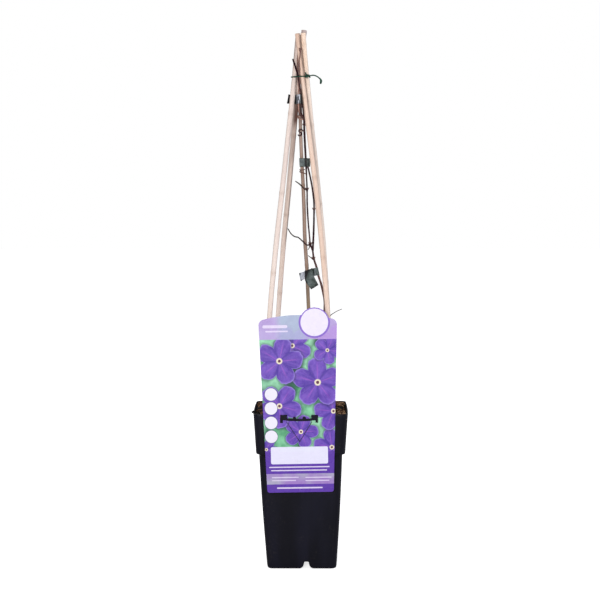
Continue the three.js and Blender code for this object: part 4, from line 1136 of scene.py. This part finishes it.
def wire_parts():
    """The wire round the four outer canes and the tips: a loop that starts and ends at the knot, then
    two strands that wind round each other, and the two ends that stand off."""
    outer = [node for node in CANES if node != "cane_centre"]
    ring = outline_round(rods_at(WIRE_Z, outer, WIRED_TIPS), WIRE_MARGIN, LOOP_POINTS)
    start = np.linalg.norm(ring - WIRE_KNOT[:2], axis=1).argmin()
    ring = np.roll(ring, -start, axis=0)[3:-2]
    loop = np.column_stack([ring, WIRE_Z + 0.5 * np.sin(np.linspace(0, 2 * np.pi, len(ring)))])
    knot = np.array(WIRE_KNOT)
    turns = np.linspace(0, 2 * np.pi * LUMP_TURNS, 40)
    lump = knot + np.stack([LUMP_X * np.cos(turns), LUMP_FORWARD + LUMP_Y * np.sin(turns),
                            np.linspace(*LUMP_ENDS, len(turns))], -1)
    parts = []
    for route, spacing, across in ((np.vstack([knot, loop[::4], knot]), 0.7, (0, 0, 1)),
                                   (lump[::3], 0.7, (0, 0, 1)), (WIRE_STUB, 0.5, (0, 1, 0))):
        parts.append(tube(smooth_path(route, spacing), WIRE_RADIUS, WIRE_COLUMNS, across))
    share = np.linspace(0, 1, 26)
    axis = knot + (np.array(WIRE_LONG_TAIL[0]) - knot) * (share[:, None] * 1.25 - 0.35)
    spread = WIRE_RADIUS * 1.05
    for phase, tail in ((0.0, WIRE_LONG_TAIL), (math.pi, WIRE_SHORT_TAIL)):
        wind = phase + share * 2 * np.pi * TWIST_TURNS
        strand = axis + spread * np.stack([0.25 * np.cos(wind), np.sin(wind), np.cos(wind)], -1)
        path = smooth_path(np.vstack([strand[::3], tail[1:]]), 0.7)
        radius = np.full(len(path), WIRE_RADIUS)
        if tail is WIRE_LONG_TAIL:
            radius = radius + bump(lengths_along(path)[-1] - lengths_along(path), *SLEEVE)
        parts.append(tube(path, radius, WIRE_COLUMNS, (0, 0.2, 1)))
    return parts


def marked(across, along, marks, soft):
    """The shade of a tape's film at each point: that of the last mark that the point lies in, blended
    over a soft edge."""
    shade = np.zeros(np.broadcast(across, along).shape)
    for low, high, foot, top, value in marks:
        inside = [np.clip(0.5 + np.minimum(at - least, most - at) / soft, 0, 1)
                  for at, least, most in ((across, low, high), (along, foot, top))]
        shade = shade + (value - shade) * inside[0] * inside[1]
    return shade


def tape_band(tape):
    """A tape wound round its rods: rows of outlines at each height, outside going up and inside coming
    down, with soft creases where the tape spans from rod to rod. A tilt lifts it in proportion to X."""
    rise = np.linspace(-0.5, 0.5, BAND_ROWS) * tape["tall"]
    levels = tape["z"] + rise
    tilt = tape.get("tilt", LEVEL)
    rods = [rods_at(level, tape["canes"], tape["shoots"], tilt) for level in levels]
    rows = {}
    for side, margin in (("out", TAPE_ROOM + TAPE_THICK), ("in", TAPE_ROOM)):
        rows[side] = np.stack([
            np.column_stack([outline_round(circles, margin, BAND_POINTS), np.full(BAND_POINTS, level)])
            for circles, level in zip(rods, levels)])
    middle = rows["out"].mean((0, 1))
    outward = unit((rows["out"] - middle) * (1, 1, 0))
    along = np.arange(BAND_POINTS)[None] * np.ones((len(rise), 1))
    crease = tape["crease"] * lattice_noise(along, rise[:, None] * 0.5 + along * 0.08, 7, tape["z"])
    slope, level_x = tilt
    for side in rows:
        rows[side] = rows[side] + crease[..., None] * outward
        rows[side][..., 2] += slope * (rows[side][..., 0] - level_x)
    grid = np.concatenate([rows["out"], rows["in"][::-1]])
    return looped(grid, {"shade": marked(grid[..., 0], grid[..., 2], tape["marks"], BAND_SOFT)})


def tape_flap(tape, flap, rows=22, columns=28):
    """A loose end of tape: a flat oval section carried along a smooth curve through its sections, from
    its root on the band to its free end, with a curl as it goes. A section is the upper and the lower
    corner of the sheet. The root may instead be two heights where the band faces one direction."""
    sections = np.array(flap["sections"], float)
    if "angle" in flap:
        circles = rods_at(tape["z"], tape["canes"], tape["shoots"])
        turn = math.radians(flap["angle"])
        way = np.array([math.cos(turn), math.sin(turn)])
        best = circles[(circles[:, :2] @ way + circles[:, 2]).argmax()]
        x, y = best[:2] + (best[2] + TAPE_ROOM) * way
        root = np.array([[x, y, tape["z"] + r] for r in flap["root"]])
        sections = np.concatenate([root[None], sections])
    edges = [smooth_path(sections[:, corner], 0.4) for corner in (0, 1)]
    upper, lower = (resample(edge, at=np.linspace(0, lengths_along(edge)[-1], rows)) for edge in edges)
    share = np.linspace(0, 1, rows)[:, None]
    middle, half = (upper + lower) / 2, (upper - lower) / 2
    normal = unit(np.cross(unit(np.gradient(middle, axis=0)), half))
    middle = middle + normal * 0.7 * np.sin(share * 2.6 + tape["z"]) * share
    angle = full_turn(columns)
    # The section is squarer than an ellipse.
    wide, thick = (np.sign(wave) * np.abs(wave) ** 0.6 for wave in (np.cos(angle), np.sin(angle)))
    crinkle = 0.18 * lattice_noise(share * 9, wide[None] * 3, 1.2, tape["z"] + 5)
    off = thick * TAPE_THICK / 2 + 0.5 * (wide**2 - 0.5) * share + crinkle
    grid = middle[:, None] + wide[None, :, None] * half[:, None] + off[..., None] * normal[:, None]
    return capped(grid, {"shade": marked(share, wide[None], flap["marks"], FLAP_SOFT)})


def wire_material():
    """The wire's green plastic coat, a little scuffed."""
    material, nodes, shader = new_material(
        "coated_wire", Specular_IOR_Level=0.2, Coat_Weight=0.03, Coat_Roughness=0.25)
    place = nodes.place()
    scuff = nodes.rise(nodes.noise(place, 420.0, 3.0, 0.6), 0.45, 0.7)
    dress(nodes, shader, nodes.blend(scuff, "0a3427", "1a5c46"), nodes.linear(scuff, 0.25, 0.3),
          nodes.noise(place, 1100.0, 2.0), 0.3, 0.0003)
    return material


def tape_material():
    """Tying tape: dark grey green film, fine lengthwise drawing lines, and bruises that catch light.
    Black is painted shade, where the film folds over or turns away from the light, and wrinkled silver
    is painted highlight, with painted shade in its creases."""
    material, nodes, shader = new_material("tie_tape", Specular_IOR_Level=0.35)
    place = nodes.place()
    shade = nodes.attribute("shade")
    lines = nodes.noise(nodes.scaled(place, (60.0, 60.0, 2600.0)), 1.0, 2.0)
    bruise = nodes.rise(nodes.noise(place, 240.0, 4.0, 0.6), 0.45, 0.7)
    skin = nodes.blend(nodes.rise(lines, 0.35, 0.65), "2f3b38", "495753")
    skin = nodes.coat(skin, bruise, 0.6, "7c8a86")
    wave = nodes.noise(nodes.scaled(place, (560.0, 560.0, 130.0)), 1.0, 1.0, 0.5)
    wrinkle = nodes.rise(wave, 0.45, 0.55)
    # Painted highlight: silver where the shade runs high, with painted shade in its creases.
    painted_crease_shade = nodes.times(nodes.rise(wave, 0.58, 0.46), nodes.rise(shade, 0.8, 0.95))
    painted_highlight_silver = nodes.blend(painted_crease_shade, nodes.blend(wrinkle, "a2a7b4", "c6cad6"), "26272c")
    skin = nodes.blend(shade, skin, painted_highlight_silver)
    # Painted shade: black where the shade runs below zero.
    skin = nodes.blend(nodes.times(shade, -1.0), skin, "060609")
    height = nodes.linear(bruise, 1.5, nodes.math("ADD", lines, wrinkle))
    dress(nodes, shader, skin, nodes.linear(bruise, -0.12, 0.45), height, 0.5, 0.0004)
    return material


wire = make_piece("coated_wire_tie", wire_parts(), wire_material())
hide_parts("wire_tie")
tie_tape = tape_material()
for name, tape in TAPES.items():
    film = [tape_band(tape), *(tape_flap(tape, flap) for flap in tape["flaps"])]
    band = make_piece("film_" + name, film, tie_tape)
    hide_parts(name)

# ---- Label ------------------------------------------------------------------------------------------

PICTURE_FOOT, PICTURE_TOP = 56.5, 211.5
PRINT_EDGE = 0.2                  # half the width over which one printed field turns into the next
VEIL_SHARE = 0.86                 # how much of the picture the pale field above it hides
# The field's blue middle: its place, how far it drifts in all, and where it starts and stops fading.
VEIL_MIDDLE, VEIL_DRIFT, VEIL_FADE = -8.0, 34.0, (12.0, 26.0)
# Printed blossoms, from the undermost to the uppermost: middle x, middle z, radius, and turn.
BLOSSOMS = [
    (50, 206, 24, 0.5), (-8, 203, 27, 1.1), (44, 62, 26, 0.2), (-46, 60, 17, 0.8),
    (2, 84, 24, 0.6), (47, 112, 27, 0.1), (-27, 120, 31, 0.9), (26, 152, 35, 0.3),
    (-26, 182, 33, 0.55), (40, 196, 20, 0.75)]
PETALS = 5
PETAL_NOTCH, PETAL_BLUNTNESS = 0.38, 2.3   # how deep the edge falls between petals, and how suddenly
# Printed discs and their rims: middle x, middle z, radius, and colour.
ROUNDEL = [(22.8, 234.6, 21.5, "8465c4"), (22.8, 234.6, 18.85, "e2dcef")]
SPOTS = [(x, z, *ring) for x, z in ((-38.2, 136.3), (-38.6, 117.0), (-38.7, 97.0), (-38.8, 77.8))
         for ring in ((9.2, "3c3768"), (8.6, "e2e0ee"))]
# The V-shaped cut: its lowest point, rise and half width.
CUT_APEX, CUT_SLOPE, CUT_REACH = 70.3, 1.583, 17.5
# Printed boxes: middle x, middle z, half width, half height, corner radius, and opacity.
PALE_BAND = (0.0, 18.7, 60.0, 7.3, 0.3, 0.9)
WHITE_BOX = (-0.7, 51.4, 39.2, 11.9, 2.2, 0.97)
PALE_LINES = [
    (-31.2, 229.4, 17.0, 2.1, 2.0, 0.85), (-29.0, 222.8, 15.5, 1.1, 1.0, 0.75),
    (-1.1, 35.2, 41.5, 0.8, 0.8, 0.85), (-1.6, 30.6, 38.5, 0.8, 0.8, 0.85),
    (-20.7, 20.9, 18.5, 0.7, 0.7, 0.75), (-22.5, 16.6, 16.5, 0.7, 0.7, 0.75),
    (25.0, 20.5, 18.0, 0.7, 0.7, 0.75), (23.5, 16.2, 16.5, 0.7, 0.7, 0.75),
    (-0.9, 6.2, 31.5, 1.0, 1.0, 0.85)]


def build_blossom(nodes, given):
    """A five-petalled flower: its ruffled edge is a radius that swings with the angle, the eye is a
    small disc, a rib runs along each petal, and a pale rim and a soft halo follow the edge."""
    dx = nodes.math("SUBTRACT", given["X"], given["Centre X"])
    dz = nodes.math("SUBTRACT", given["Z"], given["Centre Z"])
    far = nodes.math("SQRT", nodes.math("ADD", nodes.times(dx, dx), nodes.times(dz, dz)))
    share = nodes.math("DIVIDE", far, given["Radius"])
    angle = nodes.math("ADD", nodes.math("ARCTAN2", dz, dx), given["Turn"])
    turned = nodes.math("DIVIDE", angle, 2 * math.pi / PETALS)
    petal = nodes.math("FRACT", nodes.math("ADD", turned, 10.0))
    off = nodes.math("ABSOLUTE", nodes.linear(petal, 2.0, -1.0))
    edge = nodes.linear(nodes.math("POWER", off, PETAL_BLUNTNESS), -PETAL_NOTCH, given["Edge"])
    inside = nodes.math("SUBTRACT", edge, share)
    fade = nodes.times(nodes.rise(off, 1.0, 0.5), 0.8)
    rib = nodes.times(nodes.rise(off, 0.16, 0.0), nodes.rise(share, 0.95, 0.3))
    rays = nodes.add("CombineXYZ", {
        0: nodes.times(angle, 7.0), 1: nodes.times(share, 1.6), 2: given["Radius"]}).outputs[0]
    vein = nodes.rise(nodes.noise(rays, 1.0, 3.0, 0.6), 0.35, 0.7)
    return {"Petal": nodes.rise(inside, 0.0, 0.02), "Fold": nodes.math("SUBTRACT", 1.0, fade),
            "Rib": rib, "Vein": vein, "Rim": nodes.rise(inside, 0.09, 0.01),
            "Halo": nodes.rise(inside, -0.16, 0.0), "Eye": nodes.rise(share, 0.15, 0.1),
            "Heart": nodes.rise(share, 0.075, 0.05)}


def build_box(nodes, given):
    """A box with round corners: inside it a place is no further than the corners' radius from the box
    that is drawn in by that radius."""
    reach = []
    for axis, half in (("X", "Half Width"), ("Z", "Half Height")):
        off = nodes.math("ABSOLUTE", nodes.math("SUBTRACT", given[axis], given["Centre " + axis]))
        core = nodes.math("SUBTRACT", given[half], given["Corner"])
        reach.append(nodes.math("MAXIMUM", nodes.math("SUBTRACT", off, core), 0.0))
    far = nodes.math("SQRT", nodes.math("ADD", *(nodes.times(r, r) for r in reach)))
    beyond = nodes.math("SUBTRACT", far, given["Corner"])
    return {"Mask": nodes.times(nodes.rise(beyond, 0.12, -0.12), given["Opacity"])}


BLOSSOM_INPUTS = ("X", "Z", "Centre X", "Centre Z", "Radius", "Turn", "Edge")
BLOSSOM_MASKS = ("Petal", "Fold", "Rib", "Vein", "Rim", "Halo", "Eye", "Heart")
BLOSSOM = shader_group("print_blossom", dict.fromkeys(BLOSSOM_INPUTS, "Float"),
                       dict.fromkeys(BLOSSOM_MASKS, "Float"), build_blossom)
BOX_INPUTS = ("X", "Z", "Centre X", "Centre Z", "Half Width", "Half Height", "Corner", "Opacity")
BOX = shader_group("print_box", dict.fromkeys(BOX_INPUTS, "Float"), {"Mask": "Float"}, build_box)


def printed_picture(nodes, place, x, z):
    """Large blossoms, drawn one over another on a ground of soft green leaves."""
    cells = nodes.add("TexVoronoi", {"Vector": nodes.scaled(place, (1.0, 1.0, 0.6)), "Scale": 34.0})
    tint = nodes.add("SeparateColor", {0: cells.outputs["Color"]}).outputs[0]
    soft = nodes.noise(place, 40.0)
    leaves = nodes.blend(nodes.rise(soft, 0.35, 0.65), "2f8a5a", "85cfa2")
    leaves = nodes.coat(leaves, tint, 0.45, "b6e8cc")
    picture = nodes.blend(nodes.rise(cells.outputs["Distance"], 0.5, 0.8), leaves, "175c3c")
    shade = nodes.rise(nodes.noise(place, 70.0, 4.0, 0.6), 0.32, 0.68)
    petal = nodes.blend(shade, "5233a0", "7350bd")
    edge = nodes.linear(nodes.noise(place, 150.0, 2.0), 0.16, 0.92)
    for blossom in BLOSSOMS:
        flower = nodes.group(BLOSSOM, dict(zip(BLOSSOM_INPUTS, (x, z, *blossom, edge))))
        picture = nodes.coat(picture, flower["Halo"], 0.5, "22204a")
        skin = nodes.coat(petal, flower["Vein"], 0.45, "8a62c8")
        skin = nodes.coat(skin, flower["Fold"], 0.8, "3d2390")
        skin = nodes.coat(skin, flower["Rim"], 0.55, "a08fe0")
        skin = nodes.coat(skin, flower["Rib"], 0.6, "a45bc4")
        skin = nodes.blend(flower["Eye"], skin, "e6dcc0")
        skin = nodes.blend(flower["Heart"], skin, "5c2a45")
        picture = nodes.blend(flower["Petal"], picture, skin)
    return picture


def label_material():
    """The label's print, in the label's own millimetres from the middle of its lower edge. The back
    and the cut edges are plain pale plastic."""
    material, nodes, shader = new_material(
        "label_plastic", Specular_IOR_Level=0.3, Coat_Weight=0.1, Coat_Roughness=0.15)
    place = nodes.place()
    foot = LABEL_FOOT_Z
    upright = nodes.add("Mapping", {
        "Vector": place, "Scale": (1 / MM, 1 / MM, 1 / MM), "Rotation": (0, LABEL_LEAN, 0),
        "Location": (-foot * math.sin(LABEL_LEAN), 0, -foot * math.cos(LABEL_LEAN))}).outputs[0]
    x, depth, z = nodes.add("SeparateXYZ", {0: upright}).outputs

    picture = printed_picture(nodes, place, x, z)
    drift = nodes.linear(nodes.noise(place, 18.0, 2.0), VEIL_DRIFT, -VEIL_DRIFT / 2)
    aside = nodes.math("ABSOLUTE", nodes.math("ADD", nodes.math("SUBTRACT", x, VEIL_MIDDLE), drift))
    veil = nodes.blend(nodes.rise(aside, *VEIL_FADE), "a8aed0", "b596d8")
    above = nodes.rise(z, PICTURE_TOP - PRINT_EDGE, PICTURE_TOP + PRINT_EDGE)
    face = nodes.blend(above, picture, nodes.blend(VEIL_SHARE, picture, veil))
    below = nodes.rise(z, PICTURE_FOOT + PRINT_EDGE, PICTURE_FOOT - PRINT_EDGE)
    face = nodes.blend(below, face, "56319f")
    wash = nodes.blend(nodes.rise(nodes.noise(place, 30.0, 2.0), 0.35, 0.65), "9c7abf", "a8a6bd")
    boxes = [(PALE_BAND, wash), (WHITE_BOX, "dddcf1"), *((line, "dfd5ee") for line in PALE_LINES)]
    boxes += [((disc_x, disc_z, radius, radius, radius, 1.0), colour)
              for disc_x, disc_z, radius, colour in ROUNDEL + SPOTS]
    for box, colour in boxes:
        mask = nodes.group(BOX, dict(zip(BOX_INPUTS, (x, z, *box))))["Mask"]
        face = nodes.blend(mask, face, colour)

    # The cut's two edges gape a little and lie in shadow.
    middle = nodes.math("ABSOLUTE", x)
    over = nodes.math("SUBTRACT", nodes.math("SUBTRACT", z, CUT_APEX), nodes.times(middle, CUT_SLOPE))
    away = nodes.times(nodes.math("ABSOLUTE", over), 1 / math.hypot(1, CUT_SLOPE))
    shadow = nodes.rise(away, 0.75, 0.3)
    cut = nodes.times(shadow, nodes.rise(middle, CUT_REACH + PRINT_EDGE, CUT_REACH))
    face = nodes.coat(face, cut, 0.85, "101c20")

    # Only the front face is printed.
    face_y = AXIS_Y - LABEL_FRONT
    front = nodes.rise(depth, face_y + 0.12, face_y + 0.02)
    bare = nodes.blend(nodes.noise(place, 300.0, 2.0), "e9e6f0", "d8d3e4")
    dust = nodes.dust(place, 30.0, 0.12)
    colour = nodes.blend(front, bare, face)
    rough, wave = nodes.linear(nodes.noise(place, 120.0), 0.15, 0.2), nodes.noise(place, 35.0, 2.0)
    dress(nodes, shader, nodes.blend(dust, colour, "5b4632"), rough, wave, 0.15, 0.001)
    return material


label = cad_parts["label"]
label.data.materials.clear()
label.data.materials.append(label_material())

# ---- Floor, light and camera ------------------------------------------------------------------------

DOME = 0.36                       # light from all round, where the camera sees plain white
FLOOR_SEEN, FLOOR_CAST = 0.72, 0.12   # the floor's own glow as the camera sees it, and as light
WHITE = [1.0, 1.0, 1.0, 1.0]


def studio_world():
    """White behind the object, and a dimmer dome of a slightly cooler white for the light."""
    world = bpy.data.worlds.new("studio")
    bpy.context.scene.world = world
    world.use_nodes = True
    nodes = Nodes(world.node_tree)
    seen = nodes.add("LightPath").outputs["Is Camera Ray"]
    dome = [DOME, 0.985 * DOME, 1.03 * DOME, 1.0]
    nodes.feed(world.node_tree.nodes["Background"].inputs["Color"], nodes.blend(seen, dome, WHITE))


def studio_floor():
    """A wide pale sheet that the pot stands on, lit from below like a light table."""
    reach = 12.0
    mesh = bpy.data.meshes.new("floor")
    corners = [(-reach, -reach, 0), (reach, -reach, 0), (reach, reach, 0), (-reach, reach, 0)]
    mesh.from_pydata(corners, [], [(0, 1, 2, 3)])
    material, nodes, shader = new_material(
        "floor_paper", Roughness=0.9, Specular_IOR_Level=0.0, Emission_Strength=1.0)
    tint = nodes.noise(nodes.place(), 3.0, 2.0)
    nodes.feed(shader["Base Color"], nodes.blend(tint, "f6f6f7", "f9f9f9"))
    seen = nodes.add("LightPath").outputs["Is Camera Ray"]
    glow = nodes.blend(seen, [FLOOR_CAST] * 3 + [1.0], [FLOOR_SEEN] * 3 + [1.0])
    nodes.feed(shader["Emission Color"], glow)
    mesh.materials.append(material)
    floor = bpy.data.objects.new("floor", mesh)
    bpy.context.scene.collection.objects.link(floor)


def soft_light(name, place, target, size, watts, colour):
    """A rectangular light that faces its target."""
    data = bpy.data.lights.new(name, "AREA")
    data.shape, data.size, data.size_y = "RECTANGLE", *size
    data.energy, data.color = watts, colour
    light = bpy.data.objects.new(name, data)
    light.location = place
    light.rotation_euler = (Vector(target) - Vector(place)).to_track_quat("-Z", "Y").to_euler()
    bpy.context.scene.collection.objects.link(light)


def photo_camera():
    """The camera that the pot's rim and the canes give: almost level, straight in front, far off."""
    away, height, offset = 1985.0, 517.6, -1.3
    turn, pitch = math.radians(0.4), math.radians(4.17)
    focal_pixels, frame_pixels, sensor = 1411.0, 600.0, 36.0
    right = Vector((math.cos(turn), math.sin(turn), 0))
    forward = Vector((-math.sin(turn) * math.cos(pitch), math.cos(turn) * math.cos(pitch),
                      -math.sin(pitch)))
    up = right.cross(forward)
    spot = Vector((away * math.sin(turn), -away * math.cos(turn) + AXIS_Y, height)) + right * offset
    data = bpy.data.cameras.new("photo_camera")
    data.lens, data.sensor_width = focal_pixels / frame_pixels * sensor, sensor
    data.clip_start, data.clip_end = 0.05, 60.0
    camera = bpy.data.objects.new("photo_camera", data)
    turned = Matrix((right, up, -forward)).transposed().to_4x4()
    camera.matrix_world = Matrix.Translation(spot * MM) @ turned
    bpy.context.scene.collection.objects.link(camera)
    bpy.context.scene.camera = camera


studio_floor()
studio_world()
soft_light("front_box", (-0.5, -3.0, 0.95), (0, 0, 0.4), (0.9, 0.9), 57.0, (1.0, 0.985, 0.965))
soft_light("right_box", (1.7, 0.1, 1.0), (0, 0, 0.35), (0.6, 1.4), 12.0, (0.96, 0.96, 1.0))
soft_light("back_box", (-0.6, 2.3, 1.6), (0, 0, 0.4), (1.0, 1.0), 14.0, (1.0, 1.0, 1.0))
photo_camera()
bpy.context.scene.view_settings.view_transform = "Standard"
